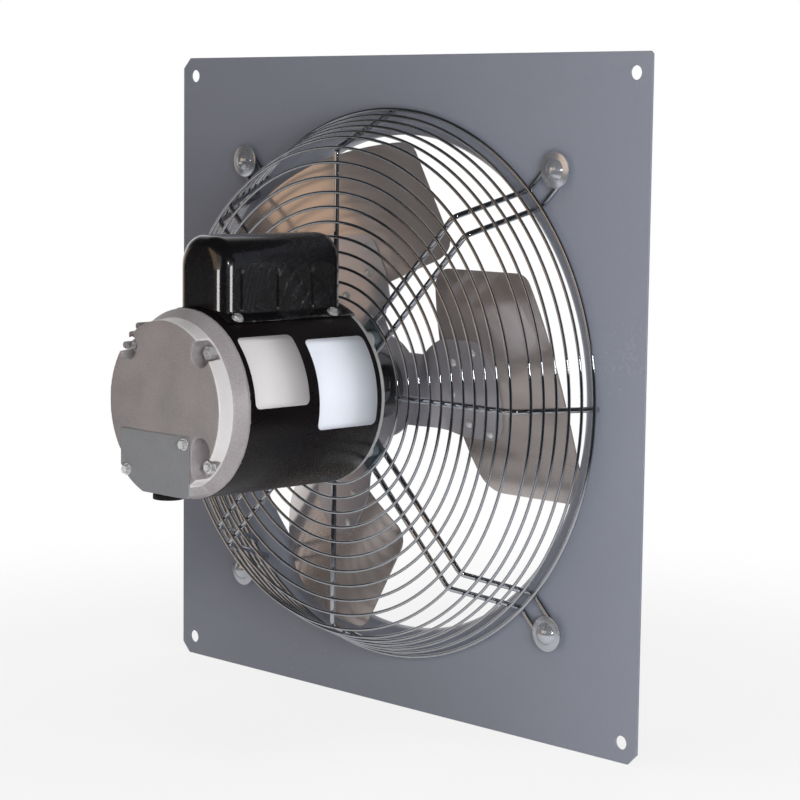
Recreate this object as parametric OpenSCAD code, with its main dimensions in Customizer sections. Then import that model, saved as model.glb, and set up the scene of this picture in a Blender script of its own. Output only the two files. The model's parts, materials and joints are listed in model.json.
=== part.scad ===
// Panel-mount exhaust fan. A square sheet panel with a shallow drawn venturi carries a wire guard
// basket on four bolted feet. The basket holds the motor in front of the panel, and the motor's
// shaft carries a three-blade propeller that turns in the venturi.
// The fan stands upright: X to the right, Y into the wall, Z up. The origin is on the fan's axis
// at the panel's back face.

/* [Panel] */
// Side of the square sheet panel
panel_side = 476; // [456:1:540]
// Sheet thickness of the panel and its venturi
panel_t = 1.5; // [1:0.1:2.5]
// Throat radius of the drawn venturi
throat_r = 181; // [174:0.5:188]
// Air-side radius of the rolled inlet lip
lip_r = 12; // [9:0.5:15]
// Straight throat behind the lip
throat_len = 3; // [1:0.5:10]
// Inset of the wall bolt holes from the panel's edges
wall_hole_inset = 14; // [11:0.5:18]
// Diameter of the wall bolt holes
wall_hole_d = 9.5; // [6:0.5:11]
// Clip of three of the panel's corners
corner_clip = 8; // [3:0.5:10]
// Clip of the fourth corner
small_clip = 2; // [0.5:0.5:6]

/* [Guard] */
// From the panel's front face to the middle of the front rings
guard_depth = 60; // [54:1:70]
// Wire of the rings
ring_wire_d = 2.2; // [1.6:0.1:3]
// Wire of the ring that lies on the feet
base_wire_d = 3; // [2.4:0.1:3.6]
// Wire of the legs and spokes
leg_wire_d = 4; // [3.4:0.1:5]
// Depth a weld sinks one wire into the next
weld_sink = 0.2; // [0.1:0.05:0.4]
// Number of flat rings on the front, without the shoulder ring
front_rings = 10; // [6:1:12]
// Number of rings on the sloping side
side_rings = 5; // [3:1:6]
// Gap from the lip's outer edge to the heel of the legs
heel_gap = 4; // [2:0.5:8]
// Run of the sloping side, from shoulder to heel
side_run = 26; // [18:1:32]
// Bend of the legs at the shoulder, on the wire's centre line
shoulder_bend_r = 6; // [5:0.5:10]
// From the heel to the foot bolts
foot_reach = 28; // [22:1:32]
// Spacing of the two wires of a leg
leg_pair = 16.5; // [15:0.5:19]

/* [Fixings] */
// Shank of the foot bolts
foot_bolt_d = 6.35; // [5:0.05:7]
// Flange of the foot bolts
foot_flange_d = 25; // [21:0.5:28]
// Dome of the foot bolts
foot_dome_d = 15.5; // [12:0.5:18]
// Height of the dome
foot_dome_h = 5; // [3:0.5:7]
// Across the flats of the foot nuts
foot_nut_af = 11.1; // [10:0.1:13]
// Through bolts of the motor
through_bolt_d = 5; // [4:0.1:6]
// Across the flats of the through bolts' nuts
stud_nut_af = 8.5; // [7.5:0.1:10]

/* [Motor] */
// Outer radius of the motor
motor_r = 64.5; // [62:0.5:68]
// Wall of the rolled shell
shell_t = 1.6; // [1:0.1:2.5]
// Length of the shell between the end bells
shell_len = 119; // [114:1:130]
// Thickness of the motor tabs
tab_t = 2; // [1.5:0.1:3]
// Length of the stator core
core_len = 50; // [40:1:56]
// Depth from the motor's outside to the rotor core
core_depth = 28.9; // [28:0.1:31]
// Gap between rotor and stator
air_gap = 0.4; // [0.3:0.05:1]
// Shaft diameter
shaft_d = 12; // [10:0.1:13]
// Outer radius of the front bearing
front_bearing_r = 16; // [15:0.5:17.5]
// Outer radius of the rear bearing
rear_bearing_r = 14; // [13:0.5:15]

/* [Covers] */
// Width of the capacitor cover
cover_w = 48; // [44:1:54]
// Length of the capacitor cover
cover_len = 112; // [104:1:118]
// Height of the capacitor cover above the shell
cover_h = 48.5; // [46:0.5:54]
// Corner radius of the capacitor cover's ends
cover_corner_r = 10; // [8:0.5:13]
// Radius of the arch along the capacitor cover's top
cover_arch_r = 19; // [15:0.5:21]
// Sheet of the capacitor cover
cover_t = 1.2; // [0.8:0.1:1.6]
// Radius of the run capacitor
capacitor_r = 18; // [15:0.5:18.5]
// Plate over the terminal box
terminal_plate_t = 1.2; // [0.8:0.1:2]
// Conduit hole in the terminal box
conduit_hole_d = 18; // [16:0.5:19]

/* [Propeller] */
// Gap from the blade tips to the throat
tip_clear = 4; // [2:0.5:8]
// Sheet of the blades
blade_t = 1.2; // [0.8:0.1:2]
// Radius at which a blade begins
blade_root = 68; // [62:1:70]
// Leading edge, across from the blade's middle line
blade_lead = 89.5; // [84:0.5:94]
// Trailing edge, across from the blade's middle line
blade_trail = 74.5; // [70:0.5:84]
// Corner radius of the blades
blade_corner_r = 13; // [8:0.5:16]
// Camber radius of the blades
camber_r = 261; // [240:1:290]
// Crest of the camber, across from the blade's middle line
camber_crest = 91; // [86:1:100]
// Crest of the camber in front of the panel's front face
crest_out = 26; // [20:0.5:30]
// Sheet of the spider
spider_t = 2; // [1.5:0.1:3]
// Radius of the spider's centre disc
spider_disc_r = 38; // [35:0.5:42]
// Outer end of a spider arm
arm_end = 118; // [112:1:122]
// Half width of an arm at its neck
arm_neck = 26; // [22:0.5:29]
// Half width of an arm at its pad
arm_pad = 36; // [34:0.5:40]
// Shift of an arm's pad towards the leading edge
arm_shift = 4; // [0:0.5:6]
// Length of the hub's barrel
hub_len = 22; // [20:1:26]
// Radius of the hub's barrel
hub_r = 15; // [13:0.5:17]

/* [Fits] */
// Radial running clearance of the shaft in its bearings
run_fit = 0.03; // [0.02:0.01:0.08]
// Clearance between pieces that are fixed to each other
fit = 0.05; // [0.03:0.01:0.08]
// Clearance of bolts in drilled holes
bolt_fit = 0.35; // [0.2:0.05:0.5]

/* [Hidden] */
// Smoothness of the round shapes
$fn = 72;
// Front face of the panel
front = panel_t;
// Seat of a ring on a leg, from wire middle to wire middle
ring_seat = (leg_wire_d + ring_wire_d) / 2 - weld_sink;
// Middle of the leg wires on the front of the guard
leg_z = front + guard_depth - ring_seat;
// Middle of the leg wires at the feet
foot_z = front + leg_wire_d / 2 + 0.02;
// Heel, shoulder and foot radii of the legs
heel_r = throat_r + lip_r + heel_gap;
shoulder_r = heel_r - side_run;
foot_r = heel_r + foot_reach;
// Swell of the wire in its bends, and lap of a straight wire into a bend
bend_swell = 0.02;
bend_lap = 0.15;
// Angle of the sloping side below the front
slope = atan2(leg_z - foot_z, side_run);
slope_dir = [cos(slope), -sin(slope)];
slope_out = [sin(slope), cos(slope)];
// Bend at the heel hugs the base ring
heel_bend_r = (leg_wire_d + base_wire_d) / 2 - weld_sink;
shoulder_tan = shoulder_bend_r * tan(slope / 2);
heel_tan = heel_bend_r * tan(slope / 2);
shoulder_in = [shoulder_r - shoulder_tan, leg_z];
shoulder_out = [shoulder_r, leg_z] + shoulder_tan * slope_dir;
shoulder_mid = [shoulder_r - shoulder_tan, leg_z - shoulder_bend_r];
heel_in = [heel_r, foot_z] - heel_tan * slope_dir;
heel_mid = [heel_r + heel_tan, foot_z + heel_bend_r];
// Rings of the guard
ring_z = leg_z + ring_seat;
first_ring_r = motor_r + 2.5;
shoulder_ring = shoulder_mid + (shoulder_bend_r + ring_seat) * [sin(slope / 2), cos(slope / 2)];
front_pitch = (shoulder_ring.x - first_ring_r) / front_rings;
side_pitch = norm(heel_in - shoulder_out) / (side_rings + 1);
// Through bolts and motor tabs
stud_r = motor_r - 11;
leg_in_r = stud_r - 6.5;
spoke_in_r = motor_r - 1.5;
tab_in_r = stud_r - 7;
tab_out_r = first_ring_r - ring_wire_d / 2 - 0.6;
tab_z = leg_z + leg_wire_d / 2 - weld_sink;
stud_nut_h = 4.5;
// Levels of the motor along its axis
motor_z = tab_z + tab_t;
web_z = motor_z + 4.4;
web_t = 4.5;
rim_z = motor_z + 9.4;
rim_t = 2.6;
shell_z = rim_z + rim_t;
rear_z = shell_z + shell_len;
shoulder_z = rear_z + 10.6;
face_z = rear_z + 22;
plate_z = face_z - terminal_plate_t;
spigot_r = motor_r - shell_t - fit;
spigot_len = 7.5;
core_z = shell_z + (shell_len - core_len) / 2;
winding_len = 19;
rotor_r = motor_r - core_depth;
winding_r = stud_r - 5;
// Bearings
front_bearing_t = 10;
front_bearing_z = motor_z - 4;
rear_bearing_t = 8;
rear_bearing_z = face_z - 16;
boss_z = front_bearing_z - 3;
boss_r = front_bearing_r + 5;
// Rear end bell
plateau_r = motor_r - 7;
pocket_r = 9;
box_pocket_r = 5.6;
pocket_rise = 11;
pocket_z = shoulder_z + 0.3;
rear_nut_h = 4.5;
nub_angles = [126, 135, 144, 207];
// Terminal box in the rear end bell
box_left = -0.71 * motor_r;
box_right = 0.42 * motor_r;
box_top = -0.287 * motor_r;
box_wall = 9;
box_floor = rear_z + 8.6;
cavity_x = box_left + box_wall + 6;
cavity_y = 11 - motor_r;
cavity_w = box_right - box_wall - cavity_x;
cavity_h = box_top - box_wall - cavity_y;
conduit_x = -0.11 * motor_r;
conduit_y = -0.945 * motor_r;
conduit_z = rear_z + 11.4;
plate_screws = [[box_right - 5, box_top - 5], [box_left + 7.8, -0.722 * motor_r]];
// Capacitor cover on top of the shell
cover_z = shell_z - 1.9;
cover_top = motor_r + cover_h;
cover_screw_x = cover_w / 2 + 5.8;
cover_foot = cover_screw_x + 3.7;
cover_screw_angle = acos(cover_screw_x / motor_r);
cover_screw_z = [cover_z + 0.156 * cover_len, cover_z + 0.929 * cover_len];
// Labels on the shell, by angle and place along the axis
rear_label_from = 1.4;
rear_label_to = 46.9;
rear_label_z = shell_z + 0.568 * shell_len;
rear_label_len = 0.402 * shell_len;
front_label_from = -15.3;
front_label_to = 42;
front_label_z = shell_z + 0.0395 * shell_len;
front_label_len = 0.451 * shell_len;
// Propeller
tip_r = throat_r - tip_clear;
camber_z = front + crest_out - camber_r;
blade_low = camber_at(-blade_trail, camber_r - blade_t) - 2;
blade_high = camber_z + camber_r + 2;
arm_gap = 0.1;
arm_r = camber_r + arm_gap;
disc_z = camber_at(0, arm_r + spider_t);
hub_flange_r = 24;
hub_flange_t = 4;
hub_spigot_r = 11;
hub_top = disc_z + hub_flange_t + hub_len;
shaft_z = disc_z - spider_t - 5;
shaft_end = rear_bearing_z + rear_bearing_t - 0.5;
rivet_spots = [[100, 32], [80, 24], [73, 1], [81, -20], [99, -26]];
rivet_d = 3.5;
rivet_head_d = 6.5;

// Names of the separate pieces
// The piece to draw

mounting_panel();
guard_front_rings();
guard_side_rings();
guard_base_ring();
guard_spokes();
guard_legs();
motor_tabs();
foot_bolts();
foot_nuts();
motor_shell();
front_end_bell();
rear_end_bell();
through_bolts();
stud_nuts();
rear_nuts();
stator_core();
stator_windings();
front_bearing();
rear_bearing();
capacitor_cover();
capacitor_cover_screws();
run_capacitor();
terminal_cover();
terminal_cover_screws();
terminal_board();
terminal_posts();
conduit_plug();
rating_label();
side_label();
shaft();
rotor_core();
propeller_hub();
hub_set_screws();
spider();
blade_1();
blade_2();
blade_3();
blade_rivets();

// Stands a piece upright: drawn with z out of the wall, y up
module stand() {
    rotate([90, 0, 0]) children();
}

// Repeats a piece on the diagonals
module diagonals() {
    for (i = [0:3]) rotate([0, 0, 45 + 90 * i]) children();
}

// Repeats a piece to the right, up, left and down
module quarters() {
    for (i = [0:3]) rotate([0, 0, 90 * i]) children();
}

// Repeats a piece on the three blade positions
module thirds() {
    for (i = [0:2]) rotate([0, 0, 120 * i]) children();
}

// Points of an arc
function arc(mid, r, from, to, n) =
    [for (i = [0:n]) mid + r * [cos(from + (to - from) * i / n), sin(from + (to - from) * i / n)]];

// Soft step from 0 to 1
function ease(t) = t <= 0 ? 0 : t >= 1 ? 1 : t * t * (3 - 2 * t);

function mix(a, b, t) = a + (b - a) * t;

// Level of the camber across a blade, for a cylinder of radius r
function camber_at(y, r) = camber_z + sqrt(r * r - (y - camber_crest) * (y - camber_crest));

// Straight wire between two points of the radial plane, lapped into the bends it meets
module rod(p, q, d, lap_p, lap_q) {
    v = q - p;
    translate([p.x, 0, p.y]) rotate([0, atan2(v.x, v.y), 0]) translate([0, 0, -lap_p])
        cylinder(d = d, h = norm(v) + lap_p + lap_q);
}

// Bent wire in the radial plane
module bend(mid, r, from, turn, d) {
    translate([mid.x, 0, mid.y]) rotate([90, 0, 0])
        rotate_extrude(angle = turn, start = from) translate([r, 0]) circle(d = d + bend_swell);
}

// Ring of wire around the fan's axis
module wire_ring(r, z, d) {
    translate([0, 0, z]) rotate_extrude() translate([r, 0]) circle(d = d);
}

// Wire from the motor over the shoulder to the heel
module guard_wire(inner_r) {
    rod([inner_r, leg_z], shoulder_in, leg_wire_d, 0, bend_lap);
    bend(shoulder_mid, shoulder_bend_r, 90 - slope, slope, leg_wire_d);
    rod(shoulder_out, heel_in, leg_wire_d, bend_lap, bend_lap);
    bend(heel_mid, heel_bend_r, 270 - slope, slope, leg_wire_d);
}

// Hexagon nut with a bore
module nut(af, h, bore_r) {
    difference() {
        cylinder(d = af / cos(30), h = h, $fn = 6);
        translate([0, 0, -1]) cylinder(r = bore_r, h = h + 2);
    }
}

// Screw with a hexagon washer head, seated at z = 0
module washer_screw(d, len, washer_d, af) {
    translate([0, 0, -len]) cylinder(d = d, h = len);
    cylinder(d = washer_d, h = 0.9);
    translate([0, 0, 0.9]) cylinder(d = af / cos(30), h = 2.6, $fn = 6);
}

// Square panel with clipped corners
module panel_outline() {
    s = panel_side / 2;
    c = corner_clip;
    k = small_clip;
    polygon([
        [s, s - k], [s - k, s], [-s + c, s], [-s, s - c], [-s, -s + c], [-s + c, -s],
        [s - c, -s], [s, -s + c]
    ]);
}

// Sheet section from the flat panel through the lip to the throat
module venturi_section() {
    mid = [throat_r + lip_r, panel_t - lip_r];
    translate([mid.x, 0]) square([panel_side, panel_t]);
    translate(mid) intersection() {
        difference() {
            circle(r = lip_r);
            circle(r = lip_r - panel_t);
        }
        translate([-2 * lip_r, 0]) square(2 * lip_r);
    }
    translate([throat_r, mid.y - throat_len]) square([panel_t, throat_len]);
}

module mounting_panel() color("#6f737b") stand() difference() {
    intersection() {
        rotate_extrude() venturi_section();
        translate([0, 0, -40]) linear_extrude(height = 60) panel_outline();
    }
    for (x = [-1, 1], y = [-1, 1])
        translate([x, y, 0] * (panel_side / 2 - wall_hole_inset) - [0, 0, 5])
            cylinder(d = wall_hole_d, h = 12);
    diagonals() translate([foot_r, 0, -5]) cylinder(d = foot_bolt_d + 2 * bolt_fit, h = 12);
}

module guard_front_rings() color("#d8dade") stand() {
    for (i = [0:front_rings - 1]) wire_ring(first_ring_r + i * front_pitch, ring_z, ring_wire_d);
    wire_ring(shoulder_ring.x, shoulder_ring.y, ring_wire_d);
}

module guard_side_rings() color("#d8dade") stand() {
    for (i = [1:side_rings]) {
        p = shoulder_out + i * side_pitch * slope_dir + ring_seat * slope_out;
        wire_ring(p.x, p.y, ring_wire_d);
    }
}

module guard_base_ring() color("#d8dade") stand() {
    wire_ring(heel_mid.x, heel_mid.y, base_wire_d);
}

module guard_spokes() color("#d8dade") stand() quarters() guard_wire(spoke_in_r);

module guard_legs() color("#d8dade") stand() diagonals() {
    for (side = [-1, 1]) translate([0, side * leg_pair / 2, 0]) {
        guard_wire(leg_in_r);
        rod([heel_mid.x, foot_z], [foot_r, foot_z], leg_wire_d, bend_lap, bend_lap);
    }
    translate([foot_r, 0, foot_z]) rotate_extrude(angle = 180, start = -90)
        translate([leg_pair / 2, 0]) circle(d = leg_wire_d + bend_swell);
}

module motor_tabs() color("#5b7078") stand() diagonals() difference() {
    translate([tab_in_r, -(leg_pair + leg_wire_d) / 2, tab_z])
        cube([tab_out_r - tab_in_r, leg_pair + leg_wire_d, tab_t]);
    translate([stud_r, 0, tab_z - 1]) cylinder(d = through_bolt_d + 2 * bolt_fit, h = tab_t + 2);
}

module foot_bolts() color("#e2e2e4") stand() diagonals() translate([foot_r, 0, 0]) {
    seat = foot_z + leg_wire_d / 2 + 0.02;
    flange_t = 1.6;
    cap_r = (foot_dome_d * foot_dome_d / 4 + foot_dome_h * foot_dome_h) / (2 * foot_dome_h);
    translate([0, 0, -8]) cylinder(d = foot_bolt_d, h = seat + 8);
    translate([0, 0, seat]) cylinder(d = foot_flange_d, h = flange_t);
    translate([0, 0, seat + flange_t]) intersection() {
        translate([0, 0, foot_dome_h - cap_r]) rotate([90, 0, 0]) sphere(r = cap_r);
        cylinder(d = foot_dome_d + 4, h = foot_dome_h + 1);
    }
}

module foot_nuts() color("#b9bcc0") stand() diagonals() translate([foot_r, 0, 0]) {
    flange_t = 1.2;
    nut_h = 4.3;
    difference() {
        union() {
            translate([0, 0, -flange_t]) cylinder(d = foot_nut_af + 4, h = flange_t);
            translate([0, 0, -flange_t - nut_h])
                cylinder(d = foot_nut_af / cos(30), h = nut_h, $fn = 6);
        }
        translate([0, 0, -10]) cylinder(d = foot_bolt_d + 2 * fit, h = 12);
    }
}

module motor_shell() color("#17181b") stand() translate([0, 0, shell_z]) difference() {
    cylinder(r = motor_r, h = shell_len);
    translate([0, 0, -1]) cylinder(r = motor_r - shell_t, h = shell_len + 2);
}

module front_end_bell() color("#8f9093") stand() difference() {
    union() {
        rotate_extrude() polygon([
            [shaft_d / 2 + 2, boss_z], [boss_r, boss_z], [boss_r, web_z], [motor_r - 7.5, web_z],
            [motor_r, rim_z], [motor_r, shell_z], [spigot_r, shell_z],
            [spigot_r, shell_z + spigot_len], [spigot_r - 4, shell_z + spigot_len],
            [spigot_r - 4, web_z + web_t + 2], [spigot_r - 6.5, web_z + web_t],
            [front_bearing_r, web_z + web_t], [front_bearing_r, front_bearing_z],
            [shaft_d / 2 + 2, front_bearing_z]
        ]);
        diagonals() translate([stud_r, 0, motor_z]) cylinder(r = 6.5, h = web_z - motor_z + web_t / 2);
    }
    diagonals() translate([stud_r, 0, motor_z - 1]) cylinder(d = through_bolt_d + 2 * bolt_fit, h = 20);
}

// Outline of the plate over the terminal box
module terminal_outline(grow) {
    intersection() {
        translate([box_left - grow, -motor_r])
            square([box_right - box_left + 2 * grow, motor_r + box_top + grow]);
        circle(r = motor_r - 0.4 + grow);
        translate([0, conduit_y + 0.6 - grow]) translate([-motor_r, 0]) square(2 * motor_r);
        rotate([0, 0, 225]) translate([-motor_r, -motor_r]) square([2 * motor_r - 1.5, 2 * motor_r]);
    }
}

module rear_end_bell() color("#97928f") stand() difference() {
    union() {
        rotate_extrude() polygon([
            [0, face_z], [plateau_r, face_z], [plateau_r + 1, shoulder_z], [motor_r, rear_z + 2.6],
            [motor_r, rear_z], [spigot_r, rear_z], [spigot_r, rear_z - spigot_len],
            [spigot_r - 4, rear_z - spigot_len], [spigot_r - 4, rear_z - 2], [stud_r - 22, rear_z + 4],
            [stud_r - 22, face_z - 5], [rear_bearing_r + 5, face_z - 5],
            [rear_bearing_r + 5, rear_bearing_z - 1], [rear_bearing_r, rear_bearing_z - 1],
            [rear_bearing_r, rear_bearing_z + rear_bearing_t], [0, rear_bearing_z + rear_bearing_t]
        ]);
        translate([0, 0, rear_z + 1]) linear_extrude(height = plate_z - rear_z - 1) terminal_outline(0);
        for (a = nub_angles) rotate([0, 0, a]) translate([motor_r - 2, 0, rear_z + 1])
            cylinder(r = 2.6, h = shoulder_z - rear_z + 3);
    }
    diagonals() translate([stud_r, 0, rear_z - 20]) cylinder(d = through_bolt_d + 2 * bolt_fit, h = 60);
    for (a = [45, 135, 315]) rotate([0, 0, a]) translate([stud_r, 0, pocket_z])
        cylinder(r = pocket_r, h = 30);
    rotate([0, 0, 225]) translate([stud_r, 0, pocket_z]) cylinder(r = box_pocket_r, h = 30);
    translate([stud_r * cos(45), -stud_r * sin(45) + pocket_rise, pocket_z]) {
        cylinder(r = pocket_r, h = 30);
        translate([-pocket_r, -pocket_rise, 0]) cube([2 * pocket_r, pocket_rise, 30]);
    }
    translate([0, 0, plate_z]) linear_extrude(height = 10) terminal_outline(fit);
    translate([cavity_x, cavity_y, box_floor]) cube([cavity_w, cavity_h, 40]);
    translate([conduit_x, conduit_y + 14, conduit_z]) rotate([90, 0, 0])
        cylinder(d = conduit_hole_d, h = 40);
    translate([conduit_x - 13, conduit_y - 20, rear_z]) cube([26, 20, 40]);
    for (p = plate_screws) translate([p.x, p.y, plate_z - 9]) cylinder(d = 3.2 + 2 * fit, h = 20);
}

module through_bolts() color("#b4b6ba") stand() diagonals() {
    translate([stud_r, 0, tab_z - stud_nut_h - 1.5])
        cylinder(d = through_bolt_d, h = pocket_z + rear_nut_h + 1.5 - tab_z + stud_nut_h + 1.5);
}

module stud_nuts() color("#c4c6ca") stand() diagonals() translate([stud_r, 0, tab_z - stud_nut_h])
    nut(stud_nut_af, stud_nut_h, through_bolt_d / 2 + fit);

module rear_nuts() color("#b4b6ba") stand() diagonals() translate([stud_r, 0, pocket_z])
    rotate([0, 0, 15]) nut(stud_nut_af, rear_nut_h, through_bolt_d / 2 + fit);

module stator_core() color("#707276") stand() difference() {
    translate([0, 0, core_z]) cylinder(r = motor_r - shell_t - fit, h = core_len);
    cylinder(r = rotor_r + air_gap, h = 400);
    diagonals() translate([stud_r, 0, 0]) cylinder(d = through_bolt_d + 2 * bolt_fit, h = 400);
}

module stator_windings() color("#a8622e") stand() for (z = [core_z - winding_len, core_z + core_len])
    translate([0, 0, z]) difference() {
        cylinder(r = winding_r, h = winding_len);
        translate([0, 0, -1]) cylinder(r = rotor_r + 3, h = winding_len + 2);
    }

// Ball bearing drawn as one ring
module bearing(outer, thick) {
    rotate_extrude() polygon([
        [shaft_d / 2 + run_fit, 0], [outer - fit, 0], [outer - fit, thick],
        [shaft_d / 2 + run_fit, thick]
    ]);
}

module front_bearing() color("#c8cacd") stand() translate([0, 0, front_bearing_z])
    bearing(front_bearing_r, front_bearing_t);

module rear_bearing() color("#c8cacd") stand() translate([0, 0, rear_bearing_z])
    bearing(rear_bearing_r, rear_bearing_t);

// Corner points of a rounded outline
function corner(mid, r, from) = arc(mid, r, from, from + 90, 8);

// Arched box with round ends, standing on the shell
module cover_solid(inset) {
    w = cover_w / 2 - inset;
    top = cover_top - inset;
    foot = motor_r / 2;
    near = cover_z + inset;
    far = cover_z + cover_len - inset;
    arch = cover_arch_r - inset;
    c = cover_corner_r - inset;
    intersection() {
        linear_extrude(height = 2 * far) polygon(concat(
            [[-w, foot], [w, foot]], corner([w - arch, top - arch], arch, 0),
            corner([arch - w, top - arch], arch, 90)
        ));
        rotate([0, -90, 0]) translate([0, 0, -cover_w]) linear_extrude(height = 2 * cover_w)
            polygon(concat(
                [[near, foot - 1], [far, foot - 1]], corner([far - c, top - c], c, 0),
                corner([near + c, top - c], c, 90)
            ));
        rotate([90, 0, 0]) translate([0, 0, -2 * top]) linear_extrude(height = 2 * top)
            polygon(concat(
                corner([w - c, far - c], c, 0), corner([c - w, far - c], c, 90),
                corner([c - w, near + c], c, 180), corner([w - c, near + c], c, 270)
            ));
    }
}

module capacitor_cover() color("#15161a") stand() difference() {
    union() {
        cover_solid(0);
        intersection() {
            translate([0, 0, cover_z - 1.5]) cylinder(r = motor_r + fit + cover_t, h = cover_len + 3);
            translate([-cover_foot, 0, 0]) cube([2 * cover_foot, 2 * motor_r, 400]);
        }
    }
    cylinder(r = motor_r + fit, h = 400);
    cover_solid(cover_t);
    for (a = [cover_screw_angle, 180 - cover_screw_angle], z = cover_screw_z)
        rotate([0, 0, a]) translate([motor_r - 5, 0, z]) rotate([0, 90, 0])
            cylinder(d = 3.4 + 2 * fit, h = 12);
}

module capacitor_cover_screws() color("#c9cacc") stand()
    for (a = [cover_screw_angle, 180 - cover_screw_angle], z = cover_screw_z)
        rotate([0, 0, a]) translate([motor_r + fit + cover_t + 0.02, 0, z]) rotate([0, 90, 0]) {
            translate([0, 0, -1.2]) cylinder(d = 3.4, h = 1.2);
            cylinder(d = 8.4, h = 0.9);
            translate([0, 0, 0.9]) cylinder(d = 5.5 / cos(30), h = 2.2, $fn = 6);
        }

module run_capacitor() color("#b8babd") stand() {
    translate([0, motor_r + capacitor_r + 0.4, cover_z + 10]) {
        cylinder(r = capacitor_r, h = cover_len - 26);
        translate([0, 0, cover_len - 26]) cylinder(r = capacitor_r - 3, h = 4);
        for (x = [-7, 7]) translate([x - 3, -0.4, cover_len - 22]) cube([6, 0.8, 8]);
    }
}

module terminal_cover() color("#858c90") stand() difference() {
    translate([0, 0, plate_z]) linear_extrude(height = terminal_plate_t) terminal_outline(-0.3);
    for (p = plate_screws) translate([p.x, p.y, plate_z - 1]) cylinder(d = 3.2 + 2 * bolt_fit, h = 5);
}

module terminal_cover_screws() color("#c9cacc") stand() for (p = plate_screws)
    translate([p.x, p.y, face_z + 0.02]) washer_screw(3.2, 8, 8.4, 5.5);

module terminal_board() color("#3a2f28") stand()
    translate([cavity_x + 2, cavity_y + 8, box_floor]) cube([20, cavity_h - 10, 3]);

module terminal_posts() color("#c8a24a") stand() for (i = [0:2])
    translate([cavity_x + 4 + 6 * i, cavity_y + cavity_h / 2, box_floor + 3]) cube([4, 0.8, 6]);

module conduit_plug() color("#101113") stand()
    translate([conduit_x, conduit_y, conduit_z]) rotate([90, 0, 0]) {
        translate([0, 0, 0.02]) cylinder(d = conduit_hole_d + 3.4, h = 3.4);
        translate([0, 0, -3]) difference() {
            cylinder(d = conduit_hole_d - 2 * fit, h = 3.02);
            translate([0, 0, -1]) cylinder(d = conduit_hole_d - 4, h = 3.5);
        }
    }

// Thin plate on the side of the shell
module shell_plate(from, to, z, len) {
    translate([0, 0, z]) rotate_extrude(angle = to - from, start = from)
        translate([motor_r + 0.03, 0]) square([0.25, len]);
}

module rating_label() color("#c6c7c5") stand()
    shell_plate(rear_label_from, rear_label_to, rear_label_z, rear_label_len);

module side_label() color("#e9e9e6") stand()
    shell_plate(front_label_from, front_label_to, front_label_z, front_label_len);

module shaft() color("#c3c5c8") stand() translate([0, 0, shaft_z]) {
    cylinder(d1 = shaft_d - 1.6, d2 = shaft_d, h = 0.8);
    translate([0, 0, 0.8]) cylinder(d = shaft_d, h = shaft_end - shaft_z - 0.8);
}

module rotor_core() color("#85878a") stand() difference() {
    union() {
        translate([0, 0, core_z]) cylinder(r = rotor_r, h = core_len);
        translate([0, 0, core_z - 8]) cylinder(r = rotor_r - 2, h = core_len + 16);
    }
    cylinder(d = shaft_d + 2 * fit, h = 400);
}

module propeller_hub() color("#a9abae") stand() difference() {
    union() {
        translate([0, 0, disc_z - spider_t - 1.5]) cylinder(r = hub_spigot_r, h = spider_t + 3);
        translate([0, 0, disc_z]) cylinder(r = hub_flange_r, h = hub_flange_t);
        translate([0, 0, disc_z]) cylinder(r = hub_r, h = hub_flange_t + hub_len);
    }
    translate([0, 0, -40]) cylinder(d = shaft_d + 2 * fit, h = 200);
    for (a = [45, 135]) rotate([0, 0, a]) translate([0, 0, hub_top - 10]) rotate([0, 90, 0])
        cylinder(d = 6 + 2 * fit, h = 40);
}

module hub_set_screws() color("#6d6f73") stand() for (a = [45, 135]) rotate([0, 0, a])
    translate([shaft_d / 2 + 0.05, 0, hub_top - 10]) rotate([0, 90, 0]) difference() {
        cylinder(d = 6, h = hub_r + 2 - shaft_d / 2);
        translate([0, 0, hub_r - shaft_d / 2 - 1]) cylinder(d = 3 / cos(30), h = 5, $fn = 6);
    }

// Half width, middle line and twist of a spider arm along its length
arm_in = spider_disc_r - 17;
arm_round = arm_end - 19;
arm_flare = spider_disc_r + 5;
arm_bend = spider_disc_r + 1;
arm_sink = 0.05;
arm_steps = 20;
arm_cross = 10;
function arm_mid(u) = arm_shift * ease((u - arm_flare) / 32);
function arm_round_off(u) = u < arm_round ? 1 : sqrt(1 - pow((u - arm_round) / (arm_end - arm_round + 1), 2));
function arm_half(u) = mix(arm_neck, arm_pad, ease((u - arm_flare) / 34)) * arm_round_off(u);
function arm_level(u, y, r, flat) = mix(flat, camber_at(y, r), ease((u - arm_bend) / 20));
function arm_u(i) = i < 12 ? mix(arm_in, arm_round, i / 12) : mix(arm_round, arm_end, sin(90 * (i - 12) / 8));
function arm_point(i, j, r, flat) =
    let (u = arm_u(i), y = arm_mid(u) + arm_half(u) * (2 * j / arm_cross - 1))
    [u, y, arm_level(u, y, r, flat)];

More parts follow.
